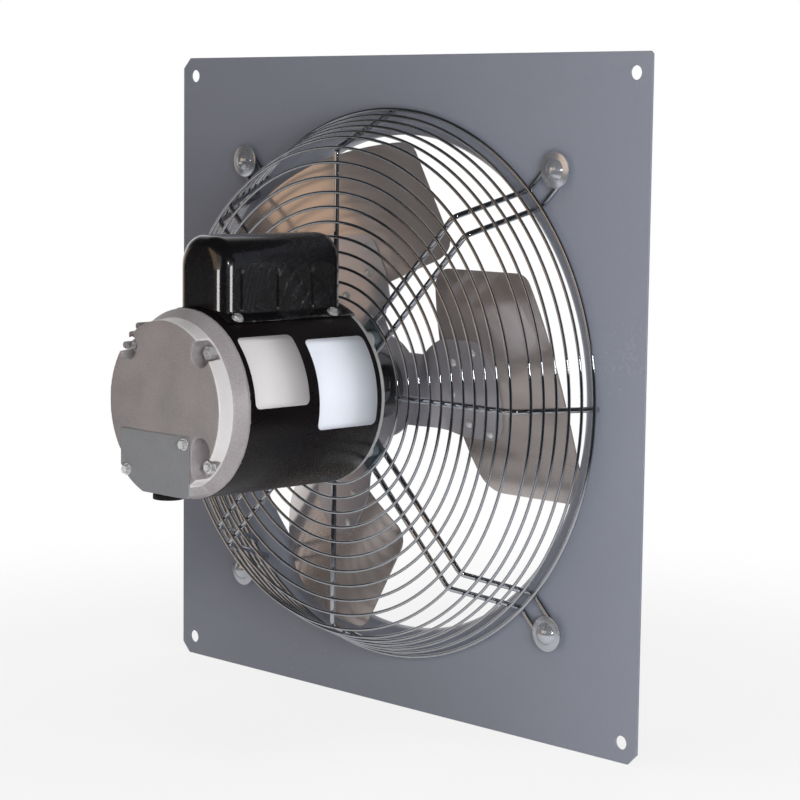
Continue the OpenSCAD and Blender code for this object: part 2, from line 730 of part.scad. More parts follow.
// Spider arm as a twisted sheet
module spider_arm() {
    n = arm_steps;
    m = arm_cross;
    w = m + 1;
    k = (n + 1) * w;
    tops = [for (i = [0:n], j = [0:m]) arm_point(i, j, arm_r + spider_t, disc_z - arm_sink)];
    backs = [for (i = [0:n], j = [0:m]) arm_point(i, j, arm_r, disc_z - spider_t + arm_sink)];
    skins = [for (i = [0:n - 1], j = [0:m - 1]) each [
        [i * w + j, i * w + j + 1, (i + 1) * w + j + 1],
        [i * w + j, (i + 1) * w + j + 1, (i + 1) * w + j],
        [k + i * w + j, k + (i + 1) * w + j + 1, k + i * w + j + 1],
        [k + i * w + j, k + (i + 1) * w + j, k + (i + 1) * w + j + 1]
    ]];
    edges = [for (i = [0:n - 1]) each [
        [k + i * w, i * w, (i + 1) * w],
        [k + i * w, (i + 1) * w, k + (i + 1) * w],
        [k + i * w + m, (i + 1) * w + m, i * w + m],
        [k + i * w + m, k + (i + 1) * w + m, (i + 1) * w + m]
    ]];
    ends = [for (j = [0:m - 1]) each [
        [k + j + 1, j + 1, j],
        [k + j + 1, j, k + j],
        [k + n * w + j, n * w + j, n * w + j + 1],
        [k + n * w + j, n * w + j + 1, k + n * w + j + 1]
    ]];
    polyhedron(points = concat(tops, backs), faces = concat(skins, edges, ends), convexity = 6);
}

// Places a piece square on the front of a blade
module on_blade(p) {
    lean = asin((p.y - camber_crest) / camber_r);
    translate([p.x, camber_crest, camber_z]) rotate([-lean, 0, 0]) translate([0, 0, camber_r]) children();
}

module spider() color("#8b8e92") stand() difference() {
    union() {
        translate([0, 0, disc_z - spider_t]) cylinder(r = spider_disc_r, h = spider_t);
        thirds() spider_arm();
    }
    translate([0, 0, disc_z - spider_t - 1]) cylinder(r = hub_spigot_r + fit, h = spider_t + 2);
    thirds() for (p = rivet_spots) on_blade(p) cylinder(d = rivet_d + 2 * fit, h = 20, center = true);
}

// Flat outline of a blade, with the tip on the propeller's circle
module blade_outline() {
    c = blade_corner_r;
    lead = blade_lead - c;
    trail = blade_trail - c;
    lead_x = sqrt(pow(tip_r - c, 2) - lead * lead);
    trail_x = sqrt(pow(tip_r - c, 2) - trail * trail);
    lead_a = atan2(lead, lead_x);
    trail_a = -atan2(trail, trail_x);
    polygon(concat(
        arc([blade_root + c, lead], c, 180, 90, 6), arc([lead_x, lead], c, 90, lead_a, 5),
        arc([0, 0], tip_r, lead_a - 1, trail_a + 1, 22), arc([trail_x, -trail], c, trail_a, -90, 5),
        arc([blade_root + c, -trail], c, -90, -180, 6)
    ));
}

// Cambered sheet blade at three o'clock
module blade() {
    difference() {
        intersection() {
            translate([0, 0, blade_low]) linear_extrude(height = blade_high - blade_low) blade_outline();
            translate([0, camber_crest, camber_z]) rotate([0, 90, 0]) difference() {
                cylinder(r = camber_r, h = tip_r + 10);
                translate([0, 0, -1]) cylinder(r = camber_r - blade_t, h = tip_r + 12);
            }
        }
        for (p = rivet_spots) on_blade(p) cylinder(d = rivet_d + 2 * fit, h = 20, center = true);
    }
}

module blade_1() color("#9a938c") stand() blade();

module blade_2() color("#9a938c") stand() rotate([0, 0, 120]) blade();

module blade_3() color("#9a938c") stand() rotate([0, 0, 240]) blade();

module blade_rivets() color("#c9cacc") stand() thirds() for (p = rivet_spots) on_blade(p) {
    seat = arm_gap + spider_t + 0.06;
    translate([0, 0, -blade_t - 1.6]) cylinder(d = rivet_d, h = seat + blade_t + 1.6);
    translate([0, 0, seat]) cylinder(d1 = rivet_head_d, d2 = rivet_head_d - 2.5, h = 1.6);
    translate([0, 0, -blade_t - 1.7]) cylinder(d = rivet_head_d - 1, h = 1.6);
}
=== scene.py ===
# %% [markdown]
# A panel-mount exhaust fan: a square sheet panel with a drawn air throat, a plated wire basket that carries
# a black capacitor motor, and a sheet-metal propeller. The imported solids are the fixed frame: every piece
# below is dressed around them, in metres, with X to the right, Y into the wall and Z up.

import json
import math

import bmesh
import bpy
from mathutils import Matrix, Vector

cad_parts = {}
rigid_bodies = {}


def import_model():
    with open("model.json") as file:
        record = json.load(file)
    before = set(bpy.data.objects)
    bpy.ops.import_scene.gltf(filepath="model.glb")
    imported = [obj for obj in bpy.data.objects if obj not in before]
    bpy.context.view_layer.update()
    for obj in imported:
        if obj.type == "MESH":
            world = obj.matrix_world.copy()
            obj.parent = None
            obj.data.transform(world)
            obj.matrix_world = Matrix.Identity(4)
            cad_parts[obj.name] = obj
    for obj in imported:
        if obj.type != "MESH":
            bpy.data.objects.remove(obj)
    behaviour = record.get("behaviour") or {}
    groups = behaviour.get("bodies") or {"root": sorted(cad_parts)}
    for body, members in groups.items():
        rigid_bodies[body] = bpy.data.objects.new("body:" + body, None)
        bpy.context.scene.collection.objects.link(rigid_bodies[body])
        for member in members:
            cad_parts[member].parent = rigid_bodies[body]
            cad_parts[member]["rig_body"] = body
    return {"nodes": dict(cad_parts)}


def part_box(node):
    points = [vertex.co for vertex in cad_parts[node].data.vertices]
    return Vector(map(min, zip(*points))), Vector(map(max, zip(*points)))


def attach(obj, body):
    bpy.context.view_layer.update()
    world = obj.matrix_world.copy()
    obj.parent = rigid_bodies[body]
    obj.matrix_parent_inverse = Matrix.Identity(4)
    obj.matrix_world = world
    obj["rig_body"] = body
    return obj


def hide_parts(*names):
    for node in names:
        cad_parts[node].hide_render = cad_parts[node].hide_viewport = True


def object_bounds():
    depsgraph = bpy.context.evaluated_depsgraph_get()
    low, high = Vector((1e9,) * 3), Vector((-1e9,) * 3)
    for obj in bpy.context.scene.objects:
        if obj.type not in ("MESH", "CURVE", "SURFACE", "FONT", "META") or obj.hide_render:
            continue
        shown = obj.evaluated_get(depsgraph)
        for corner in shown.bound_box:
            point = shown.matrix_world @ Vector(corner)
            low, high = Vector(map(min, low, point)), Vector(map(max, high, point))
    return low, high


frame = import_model()
cad_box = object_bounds()

# %% [markdown]
# The drawing of the fan is in millimetres, with x to the right, y up and z out of the wall towards the
# motor. A piece could be modelled straight in the scene's metres, but then no number would look like the
# drawing. So each mesh is drawn in millimetres and stood up by one matrix when it is finished.

# %% Drawing units
MM = 0.001
STAND = Matrix.Scale(MM, 4) @ Matrix.Rotation(math.radians(90), 4, "X")
AXIS = (0, 0, 1)


def size_of(node):
    """Lowest and highest corner of a solid, in millimetres of the drawing."""
    low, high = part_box(node)
    return Vector((low.x, low.z, -high.y)) / MM, Vector((high.x, high.z, -low.y)) / MM


panel_low, panel_high = size_of("mounting_panel")
shell_low, shell_high = size_of("motor_shell")
motor_r = shell_high.x
print("panel side", round(panel_high.x - panel_low.x, 1), "mm, motor radius", round(motor_r, 1), "mm")

# %% [markdown]
# Paint colours are easiest to read as the hex values of a colour chart, which are sRGB. Shaders want linear
# light. One small function turns one into the other, and another adds a shader node with its settings and
# links, so that each finish below reads as a list of its layers.

# %% Colours and nodes


def linear(hex_colour):
    """Linear RGBA of an sRGB hex colour, by the formula of the sRGB standard."""
    parts = [int(hex_colour[i:i + 2], 16) / 255 for i in (1, 3, 5)]
    return [c / 12.92 if c <= 0.04045 else ((c + 0.055) / 1.055) ** 2.4 for c in parts] + [1]


def add(tree, kind, settings=None, links=None):
    """Adds a node. The key of a setting is a property of the node, or else one of its sockets."""
    node = tree.nodes.new(kind)
    for key, value in (settings or {}).items():
        if isinstance(key, str) and hasattr(node, key):
            setattr(node, key, value)
        else:
            node.inputs[key].default_value = value
    for key, source in (links or {}).items():
        tree.links.new(source, node.inputs[key])
    return node


def per(millimetres):
    """Texture scale at which one grain is this many millimetres wide."""
    return 1 / (millimetres * MM)


def start_finish(name, metallic, coat=0.0):
    """A new material, with its node tree and its main shader."""
    finish = bpy.data.materials.new(name)
    finish.use_nodes = True
    tree = finish.node_tree
    shader = tree.nodes["Principled BSDF"]
    shader.inputs["Metallic"].default_value = metallic
    shader.inputs["Coat Weight"].default_value = coat
    return finish, tree, shader


# %% [markdown]
# Most finishes on this fan are the same three layers: a colour that drifts a little between two tones, a
# roughness that drifts with it, and a fine relief. They differ in their tones, in how wide the grain is and
# in whether it is stretched, as rolled and drawn metal is. One function lays those layers for all of them,
# and the finishes that need more add nodes of their own.

# %% Layered finish
DRIFT_LOW, DRIFT_HIGH = 0.25, 0.75


def layered(name, tones, metallic, rough, cloud, grain, relief,
            stretch=(1, 1, 1), coat=0.0, source="Object"):
    """Lays a finish. Cloud and grain are widths and relief is a depth, in millimetres."""
    finish, tree, shader = start_finish(name, metallic, coat)
    place = add(tree, "ShaderNodeTexCoord").outputs[source]
    along = add(tree, "ShaderNodeMapping", {"Scale": stretch}, {"Vector": place}).outputs["Vector"]
    clouds = add(tree, "ShaderNodeTexNoise", {"Scale": per(cloud), "Detail": 3.0}, {"Vector": place})
    fine = add(tree, "ShaderNodeTexNoise", {"Scale": per(grain), "Detail": 2.0}, {"Vector": along})
    half = add(tree, "ShaderNodeMath", {"operation": "MULTIPLY", 1: 0.5}, {0: clouds.outputs["Fac"]})
    both = add(tree, "ShaderNodeMath", {"operation": "MULTIPLY_ADD", 1: 0.5},
               {0: fine.outputs["Fac"], 2: half.outputs[0]})
    drift = add(tree, "ShaderNodeMapRange", {"From Min": DRIFT_LOW, "From Max": DRIFT_HIGH},
                {"Value": both.outputs[0]}).outputs["Result"]
    colour = add(tree, "ShaderNodeMix", {"data_type": "RGBA", 6: linear(tones[0]), 7: linear(tones[1])},
                 {0: drift})
    gloss = add(tree, "ShaderNodeMapRange", {"To Min": rough[0], "To Max": rough[1]}, {"Value": drift})
    bump = add(tree, "ShaderNodeBump", {"Strength": 1.0, "Distance": relief * MM},
               {"Height": fine.outputs["Fac"]})
    tree.links.new(colour.outputs[2], shader.inputs["Base Color"])
    tree.links.new(gloss.outputs["Result"], shader.inputs["Roughness"])
    tree.links.new(bump.outputs["Normal"], shader.inputs["Normal"])
    return finish


# %% [markdown]
# The panel is sheet steel under grey satin enamel. Sprayed enamel dries with a faint orange peel, about a
# millimetre wide on the real sheet: it is drawn at 2.5 mm here, because a finer one would not show. The
# wires are drawn steel under bright plating: a mirror with faint die lines, that shows mostly its
# surroundings. The tabs keep the bluish skin of passivated steel, the foot bolts are polished, and the zinc
# on nuts and screws is duller, as it comes out of the plating barrel.

# %% Panel and guard finishes
panel_enamel = layered("satin_enamel_sprayed_grey", ("#868b98", "#898e9b"), 0.0, (0.24, 0.28),
                       cloud=140, grain=2.5, relief=0.004)
wire_plating = layered("bright_chrome_plated_wire", ("#b9bcc2", "#c9ccd2"), 1.0, (0.03, 0.09),
                       cloud=30, grain=1.5, relief=0.0)
tab_steel = layered("passivated_steel_rolled_bright", ("#7d8d94", "#98a7ad"), 1.0, (0.12, 0.22),
                    cloud=20, grain=0.8, relief=0.004, stretch=(0.1, 1, 1))
bolt_polish = layered("stainless_steel_polished", ("#bfc3cb", "#ced2da"), 0.75, (0.16, 0.22),
                      cloud=8, grain=1.0, relief=0.0)
zinc_plate = layered("zinc_plated_steel_barrelled", ("#dcdee0", "#ebecee"), 0.7, (0.18, 0.28),
                     cloud=6, grain=1.2, relief=0.01)
print("panel, wire and fixing finishes laid")

# %% [markdown]
# The motor's shell is black stove enamel, which mirrors less than bare gloss paint, so its specular level
# is lowered. Its capacitor cover is a glossier dip coat. The end bells are cast aluminium that was tumbled
# after casting, so they have a fine even grain and no direction. The real grain is about 0.3 mm: it is
# drawn at 1.1 mm to show. The terminal plate is galvanised sheet, and the plug under it is dull moulded
# nylon.

# %% Motor finishes
SATIN = 0.3
shell_enamel = layered("stove_enamel_sprayed_black", ("#0c090a", "#110d0f"), 0.0, (0.24, 0.32),
                       cloud=60, grain=2.0, relief=0.0)
shell_enamel.node_tree.nodes["Principled BSDF"].inputs["Specular IOR Level"].default_value = SATIN
cover_enamel = layered("gloss_enamel_dipped_black", ("#070608", "#0a090c"), 0.0, (0.24, 0.3),
                       cloud=40, grain=5.0, relief=0.0, coat=0.9)
cast_aluminium = layered("cast_aluminium_tumbled", ("#918c8f", "#b8b3b5"), 0.25, (0.36, 0.48),
                         cloud=30, grain=1.1, relief=0.05)
front_cast = layered("cast_aluminium_turned", ("#b0b0b2", "#bebec0"), 0.4, (0.28, 0.4),
                     cloud=30, grain=0.9, relief=0.02)
plate_zinc = layered("galvanised_sheet_skin_passed", ("#979ba1", "#a5a9af"), 0.3, (0.36, 0.5),
                     cloud=14, grain=2.4, relief=0.006)
plug_nylon = layered("nylon_moulded_black", ("#0e0e10", "#17171a"), 0.0, (0.42, 0.55),
                     cloud=12, grain=0.9, relief=0.012)
print("motor finishes laid")

# %% [markdown]
# The step round the rear bell's face is painted near white: a painted highlight that stands in for the key
# light it catches on the right, while the rest keeps its grey skin. A second casting finish would need the
# mesh to be split. Measuring each point's distance from the fan's axis in the shader gives the same band,
# with sharp edges.

# %% Painted highlight on the step of the rear bell


def paint_step_highlight(finish, inner, outer, tone, highlight_share):
    tree = finish.node_tree
    shader = tree.nodes["Principled BSDF"]
    skin = shader.inputs["Base Color"].links[0].from_socket
    place = add(tree, "ShaderNodeTexCoord").outputs["Object"]
    across = add(tree, "ShaderNodeVectorMath", {"operation": "MULTIPLY", 1: (1, 0, 1)}, {0: place})
    radius = add(tree, "ShaderNodeVectorMath", {"operation": "LENGTH"}, {0: across.outputs[0]})
    middle, half = (inner + outer) / 2 * MM, (outer - inner) / 2 * MM
    band = add(tree, "ShaderNodeMath", {"operation": "COMPARE", 1: middle, 2: half},
               {0: radius.outputs["Value"]})
    share = add(tree, "ShaderNodeMath", {"operation": "MULTIPLY", 1: highlight_share}, {0: band.outputs[0]})
    colour = add(tree, "ShaderNodeMix", {"data_type": "RGBA", 7: linear(tone)},
                 {0: share.outputs[0], 6: skin})
    tree.links.new(colour.outputs[2], shader.inputs["Base Color"])


step_inner, step_outer = motor_r - 7.4, motor_r - 5.9
STEP_HIGHLIGHT_SHARE = 0.65
# Painted highlight: the step's band is mixed towards near white all round the axis.
paint_step_highlight(cast_aluminium, step_inner, step_outer, "#faf8f8", STEP_HIGHLIGHT_SHARE)
print("step turned bright from", round(step_inner, 1), "to", round(step_outer, 1), "mm radius")

# %% [markdown]
# The blades are mill-finish sheet: rolled metal with a warm grey tone, satin enough that reflections smear
# across it. The lines that the rolls leave are finer than a millimetre and would not show, so they are
# drawn as soft bands 24 mm wide. The bands have to follow each blade's own sheet, so the finish reads a UV
# map that is laid while the blade is still flat. The spider is rolled steel of a cooler grey, and the hub
# is turned bright.

# %% Propeller finishes
blade_sheet = layered("mill_finish_sheet_rolled", ("#b3aaa7", "#c5bcb9"), 0.72, (0.14, 0.2),
                      cloud=70, grain=24, relief=0.0, stretch=(0.35, 1, 1), source="UV")
spider_steel = layered("bright_steel_rolled", ("#aaa8ae", "#b6b4ba"), 0.55, (0.2, 0.26),
                       cloud=40, grain=14, relief=0.0, stretch=(0.05, 1, 1), source="UV")
turned_steel = layered("steel_turned", ("#96979a", "#adaeb1"), 1.0, (0.18, 0.3),
                       cloud=10, grain=0.6, relief=0.006, stretch=(0.05, 1, 0.05))
print("propeller finishes laid")

# %% [markdown]
# The pieces inside the motor are closed in by the shell and the bells. They still have finishes of their
# own, because the model can be opened: laminated steel, enamelled copper, a drawn can, phenolic board,
# brass.

# %% Inner finishes
inner_finishes = {
    "stator_core": layered("electrical_steel_laminated", ("#5d5f63", "#75777b"), 0.9, (0.35, 0.5),
                           cloud=20, grain=0.9, relief=0.03, stretch=(0.05, 1, 0.05)),
    "stator_windings": layered("copper_wire_enamelled", ("#8a4a22", "#b8703c"), 0.8, (0.25, 0.4),
                               cloud=8, grain=1.2, relief=0.08, stretch=(1, 0.2, 1)),
    "run_capacitor": layered("aluminium_drawn_can", ("#a4a6a9", "#bcbec1"), 1.0, (0.3, 0.42),
                             cloud=20, grain=0.8, relief=0.006, stretch=(1, 0.05, 1)),
    "terminal_board": layered("phenolic_board_pressed", ("#2f2620", "#42362d"), 0.0, (0.45, 0.6),
                              cloud=6, grain=0.7, relief=0.01),
    "terminal_posts": layered("brass_stamped", ("#b08c3c", "#cda95a"), 1.0, (0.25, 0.38),
                              cloud=5, grain=0.5, relief=0.004),
}
inner_finishes["rotor_core"] = inner_finishes["stator_core"]
for node in ("front_bearing", "rear_bearing", "shaft"):
    inner_finishes[node] = turned_steel
for node, finish in inner_finishes.items():
    solid = frame["nodes"][node]
    solid.data.materials.clear()
    solid.data.materials.append(finish)
print(len(inner_finishes), "inner solids dressed")

# %% [markdown]
# A finished mesh becomes a piece in the same way each time: it is stood up, smoothed, given its finish, and
# told which body it rides on, and the solid it stands for is hidden. Thin sheet
# and turned parts also get a small bevel, because a real edge is never a knife and its rounding catches the
# light.

# %% Finish a piece
scene = bpy.context.scene
MERGE, SEAM = 0.001, 0.01


def fit_piece(bm, name, node, finish, bevel=0.0, sheet=0.0, stand=True, crease=40):
    """Makes a mesh the piece that stands for a solid. Bevel and sheet are in millimetres."""
    if stand:
        bmesh.ops.transform(bm, matrix=STAND, verts=bm.verts)
    for face in bm.faces:
        face.smooth = True
    mesh = bpy.data.meshes.new(name)
    bm.to_mesh(mesh)
    bm.free()
    mesh.set_sharp_from_angle(angle=math.radians(crease))
    mesh.materials.append(finish)
    piece = bpy.data.objects.new(name, mesh)
    scene.collection.objects.link(piece)
    if sheet:
        wall = piece.modifiers.new("sheet", "SOLIDIFY")
        wall.thickness = sheet * MM
        wall.offset = -1
    if bevel:
        edge = piece.modifiers.new("edge", "BEVEL")
        edge.width = bevel * MM
        edge.segments = 2
        edge.limit_method = "ANGLE"
        edge.angle_limit = math.radians(crease)
        edge.harden_normals = True
    body = frame["nodes"][node]["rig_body"]
    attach(piece, body)
    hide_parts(node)
    print(name, len(mesh.polygons), "faces, on", body)
    return piece


def everything(bm):
    return bm.verts[:] + bm.edges[:] + bm.faces[:]


def around(bm, count, first=0.0):
    """Turns the mesh to its first place and repeats it evenly around the fan's axis."""
    start = Matrix.Rotation(math.radians(first), 3, "Z")
    bmesh.ops.rotate(bm, verts=bm.verts, cent=(0, 0, 0), matrix=start)
    bmesh.ops.spin(bm, geom=everything(bm), cent=(0, 0, 0), axis=AXIS, dvec=(0, 0, 0),
                   angle=math.tau * (count - 1) / count, steps=count - 1, use_duplicate=True)


def outward(bm):
    """Closes the seams and turns every face outwards."""
    bmesh.ops.remove_doubles(bm, verts=bm.verts, dist=MERGE)
    bmesh.ops.recalc_face_normals(bm, faces=bm.faces)


# %% [markdown]
# The rings of the guard are straightened wire, rolled round and butt-welded. A torus primitive would do,
# but a circle spun round the axis is the same and lets each ring sit on its own radius and level. The first
# ring lies just outside the motor, the last one on the shoulder of the legs.

# %% Guard rings
RING_STEPS = 168
WIRE_SIDES = 12


def edges_of(verts):
    return list(dict.fromkeys(edge for vert in verts for edge in vert.link_edges))


def wire_ring(bm, radius, level, wire):
    section = Matrix.Translation((radius, 0, level)) @ Matrix.Rotation(math.radians(90), 4, "X")
    verts = bmesh.ops.create_circle(bm, segments=WIRE_SIDES, radius=wire / 2, matrix=section)["verts"]
    bmesh.ops.spin(bm, geom=verts + edges_of(verts), cent=(0, 0, 0), axis=AXIS, dvec=(0, 0, 0),
                   angle=math.tau, steps=RING_STEPS, use_merge=True)


ring_wire, base_wire, leg_wire = 2.2, 3.0, 4.0
weld_sink, touch = 0.2, 0.02
front = panel_high.z
guard_out = size_of("guard_front_rings")[1].z
ring_level = guard_out - ring_wire / 2
ring_seat = (leg_wire + ring_wire) / 2 - weld_sink
leg_level = ring_level - ring_seat
foot_level = front + leg_wire / 2 + touch
print("guard stands", round(guard_out - front, 1), "mm in front of the panel")

# %% [markdown]
# A leg's side slopes from the shoulder to the heel, with a bend at each. Where the bends start and end
# follows from the slope, so those points are worked out once and shared by the legs, the spokes and the
# rings that lie on them.

# %% Line of a guard wire
throat_r, lip_r = 181.0, 12.0
heel_gap, side_run, foot_run = 4.0, 26.0, 28.0
heel_r = throat_r + lip_r + heel_gap
shoulder_r = heel_r - side_run
foot_r = heel_r + foot_run
shoulder_bend = 6.0
heel_bend = (leg_wire + base_wire) / 2 - weld_sink
slope = math.atan2(leg_level - foot_level, heel_r - shoulder_r)
slope_dir = Vector((math.cos(slope), -math.sin(slope)))
slope_out = Vector((math.sin(slope), math.cos(slope)))
shoulder_cut = shoulder_bend * math.tan(slope / 2)
heel_cut = heel_bend * math.tan(slope / 2)
shoulder_mid = Vector((shoulder_r - shoulder_cut, leg_level - shoulder_bend))
shoulder_end = Vector((shoulder_r, leg_level)) + shoulder_cut * slope_dir
heel_start = Vector((heel_r, foot_level)) - heel_cut * slope_dir
heel_mid = Vector((heel_r + heel_cut, foot_level + heel_bend))
shoulder_out = Vector((math.sin(slope / 2), math.cos(slope / 2)))
shoulder_ring = shoulder_mid + (shoulder_bend + ring_seat) * shoulder_out
print("sides slope at", round(math.degrees(slope), 1), "degrees")

# %% [markdown]
# The front rings are spaced evenly from the motor to the shoulder, and the side rings from the shoulder to
# the heel. The thicker base ring lies in the bend of the heels. They could be set one by one, but their
# seats follow from the line of the wires, so they rest on the legs whatever the slope is.

# %% Front, side and base rings
FRONT_RINGS, SIDE_RINGS = 10, 5
motor_gap = 2.5
first_ring = motor_r + motor_gap
front_pitch = (shoulder_ring.x - first_ring) / FRONT_RINGS
front_seats = [Vector((first_ring + i * front_pitch, ring_level)) for i in range(FRONT_RINGS)]
side_pitch = (heel_start - shoulder_end).length / (SIDE_RINGS + 1)
side_line = shoulder_end + ring_seat * slope_out
side_seats = [side_line + i * side_pitch * slope_dir for i in range(1, SIDE_RINGS + 1)]
ring_sets = [
    ("guard_front_ring_wires", "guard_front_rings", front_seats + [shoulder_ring], ring_wire),
    ("guard_side_ring_wires", "guard_side_rings", side_seats, ring_wire),
    ("guard_base_ring_wire", "guard_base_ring", [heel_mid], base_wire),
]
for name, node, seats, wire in ring_sets:
    bm = bmesh.new()
    for seat in seats:
        wire_ring(bm, seat.x, seat.y, wire)
    outward(bm)
    fit_piece(bm, name, node, wire_plating)

# %% [markdown]
# A leg is one hairpin of thicker wire: out over the shoulder, down the side, round the foot bolt and back.
# It is bent here as in the bending jig: the open end of the wire is fed straight ahead by an extrusion, or
# turned round a pin by a spin. A curve with a bevel would give the same tube, but its bends would not be
# true arcs.

# %% Wire bending jig


def start_wire(bm, at, wire):
    section = Matrix.Translation(at) @ Matrix.Rotation(math.radians(90), 4, "Y")
    verts = bmesh.ops.create_circle(bm, segments=WIRE_SIDES, radius=wire / 2, matrix=section)["verts"]
    return edges_of(verts)


def grow(bm, edges):
    """Extrudes a row of edges. Gives the new row and its points, still in the old place."""
    grown = bmesh.ops.extrude_edge_only(bm, edges=edges)["geom"]
    verts = [g for g in grown if isinstance(g, bmesh.types.BMVert)]
    new = set(verts)
    return [g for g in grown if isinstance(g, bmesh.types.BMEdge) and new.issuperset(g.verts)], verts


def feed(bm, end, x, z):
    end, verts = grow(bm, end)
    bmesh.ops.translate(bm, verts=verts, vec=(x, 0, z))
    return end


def turn(bm, end, pin, axis, angle, steps=8):
    verts = list(dict.fromkeys(vert for edge in end for vert in edge.verts))
    last = bmesh.ops.spin(bm, geom=verts + end, cent=pin, axis=axis, dvec=(0, 0, 0), angle=angle,
                          steps=steps)
    return [g for g in last["geom_last"] if isinstance(g, bmesh.types.BMEdge)]


def over_the_shoulder(bm, end, inner_r, y):
    across = (0, 1, 0)
    end = feed(bm, end, shoulder_mid.x - inner_r, 0)
    end = turn(bm, end, (shoulder_mid.x, y, shoulder_mid.y), across, slope)
    side = heel_start - shoulder_end
    end = feed(bm, end, side.x, side.y)
    return turn(bm, end, (heel_mid.x, y, heel_mid.y), across, -slope)


def cap(bm):
    rims = [edge for edge in bm.edges if edge.is_boundary]
    bmesh.ops.holes_fill(bm, edges=rims, sides=WIRE_SIDES)


# %% [markdown]
# Half a leg is bent, from its inner end under the motor's rim to the middle of the loop round the foot
# bolt, and mirrored to the other half. Bending the whole hairpin would need every step twice. One leg is
# then repeated on the four diagonals.

# %% Legs
leg_pair = 16.5
stud_in, stud_past = 11.0, 6.5
leg_inner = motor_r - stud_in - stud_past
bm = bmesh.new()
end = start_wire(bm, (leg_inner, -leg_pair / 2, leg_level), leg_wire)
end = over_the_shoulder(bm, end, leg_inner, -leg_pair / 2)
end = feed(bm, end, foot_r - heel_mid.x, 0)
turn(bm, end, (foot_r, 0, foot_level), AXIS, math.pi / 2, 10)
bmesh.ops.mirror(bm, geom=everything(bm), matrix=Matrix.Identity(4), merge_dist=SEAM, axis="Y")
cap(bm)
around(bm, 4, 45)
outward(bm)
fit_piece(bm, "guard_leg_hairpins", "guard_legs", wire_plating)

# %% [markdown]
# Between the legs, one straight wire at 12, 3, 6 and 9 o'clock ties the rings together. It is bent in the
# same jig, but stops in the heel, where it is welded to the base ring.

# %% Spokes
spoke_in = 1.5
spoke_inner = motor_r - spoke_in
bm = bmesh.new()
end = start_wire(bm, (spoke_inner, 0, leg_level), leg_wire)
over_the_shoulder(bm, end, spoke_inner, 0)
cap(bm)
around(bm, 4)
outward(bm)
fit_piece(bm, "guard_spoke_wires", "guard_spokes", wire_plating)

# %% [markdown]
# Sheet pieces start as a line scribed on the flat: straight to a point, or round a centre. Extruding a
# vertex draws the straight stretch and spinning it draws the arc, so an outline needs only the points that
# its shape has.

# %% Scribing an outline


def scribe(bm, vert, x, y):
    """Draws a straight line from a point and gives its other end."""
    tip = bmesh.ops.extrude_vert_indiv(bm, verts=[vert])["verts"][0]
    tip.co = (x, y, vert.co.z)
    return tip


def sweep(bm, vert, x, y, degrees, steps):
    """Draws an arc round a centre and gives its other end."""
    last = bmesh.ops.spin(bm, geom=[vert], cent=(x, y, vert.co.z), axis=AXIS, dvec=(0, 0, 0),
                          angle=math.radians(degrees), steps=steps)["geom_last"]
    return next(g for g in last if isinstance(g, bmesh.types.BMVert))


def lathe(bm, steps):
    """Stands a scribed half section up and spins it round the axis."""
    bmesh.ops.rotate(bm, verts=bm.verts, cent=(0, 0, 0), matrix=Matrix.Rotation(math.radians(90), 3, "X"))
    bmesh.ops.spin(bm, geom=bm.verts[:] + bm.edges[:], cent=(0, 0, 0), axis=AXIS, dvec=(0, 0, 0),
                   angle=math.tau, steps=steps, use_merge=True)
    outward(bm)


# %% [markdown]
# The panel is one drawn sheet. Its throat is a half section spun round the axis: a narrow flat ring, the
# rolled lip, and a short straight throat. The flat ring matters: it keeps the lip's shading from leaking
# over the wide flat.

# %% Throat of the panel
LIP_STEPS = 144
flat_w, throat_len = 4.0, 3.0
lip_top = throat_r + lip_r
bm = bmesh.new()
vert = bm.verts.new((lip_top + flat_w, front, 0))
vert = scribe(bm, vert, lip_top, front)
vert = sweep(bm, vert, lip_top, front - lip_r, 90, 10)
scribe(bm, vert, throat_r, front - lip_r - throat_len)
lathe(bm, LIP_STEPS)
rim = [e for e in bm.edges if e.is_boundary and e.verts[0].co.xy.length > lip_top]
print(len(rim), "edges round the lip")

# %% [markdown]
# The flat of the panel is sheared from a square with clipped corners and punched for the wall bolts and the
# foot bolts. Booleans would punch it too, but one fill between the outline, the holes and the throat's ring
# gives clean flat faces in one step.

# %% Flat of the panel
SHEET, HOLE_STEPS = 1.5, 32
half_side = panel_high.x
clip, small_clip = 8.0, 2.0
cut, small_cut = half_side - clip, half_side - small_clip
corners = [(half_side, small_cut), (small_cut, half_side), (-cut, half_side), (-half_side, cut),
           (-half_side, -cut), (-cut, -half_side), (cut, -half_side), (half_side, -cut)]
first = vert = bm.verts.new((*corners[0], front))
for corner in corners[1:]:
    vert = scribe(bm, vert, *corner)
bm.edges.new((vert, first))
wall_hole, foot_hole, wall_inset = 9.5, 7.05, 14.0
wall_at, foot_at = half_side - wall_inset, foot_r * math.sqrt(0.5)
for x in (-1, 1):
    for y in (-1, 1):
        for at, bore in ((wall_at, wall_hole), (foot_at, foot_hole)):
            bmesh.ops.create_circle(bm, segments=HOLE_STEPS, radius=bore / 2,
                                    matrix=Matrix.Translation((x * at, y * at, front)))
lines = [e for e in bm.edges if e.is_wire]
bmesh.ops.triangle_fill(bm, edges=lines + rim, normal=(0, 0, 1), use_beauty=True)
bmesh.ops.recalc_face_normals(bm, faces=bm.faces)
flat = max(bm.faces, key=lambda f: f.calc_area())
if flat.normal.z < 0:
    bmesh.ops.reverse_faces(bm, faces=bm.faces)
fit_piece(bm, "panel_drawn_sheet", "mounting_panel", panel_enamel, bevel=0.3, sheet=SHEET)

# %% [markdown]
# Each leg is held by a polished domed bolt with a wide flange. Its half section is scribed and turned:
# shank, flange with a rolled rim, and a dome that is a true arc. The lathe makes one and the four stand in
# a ring.

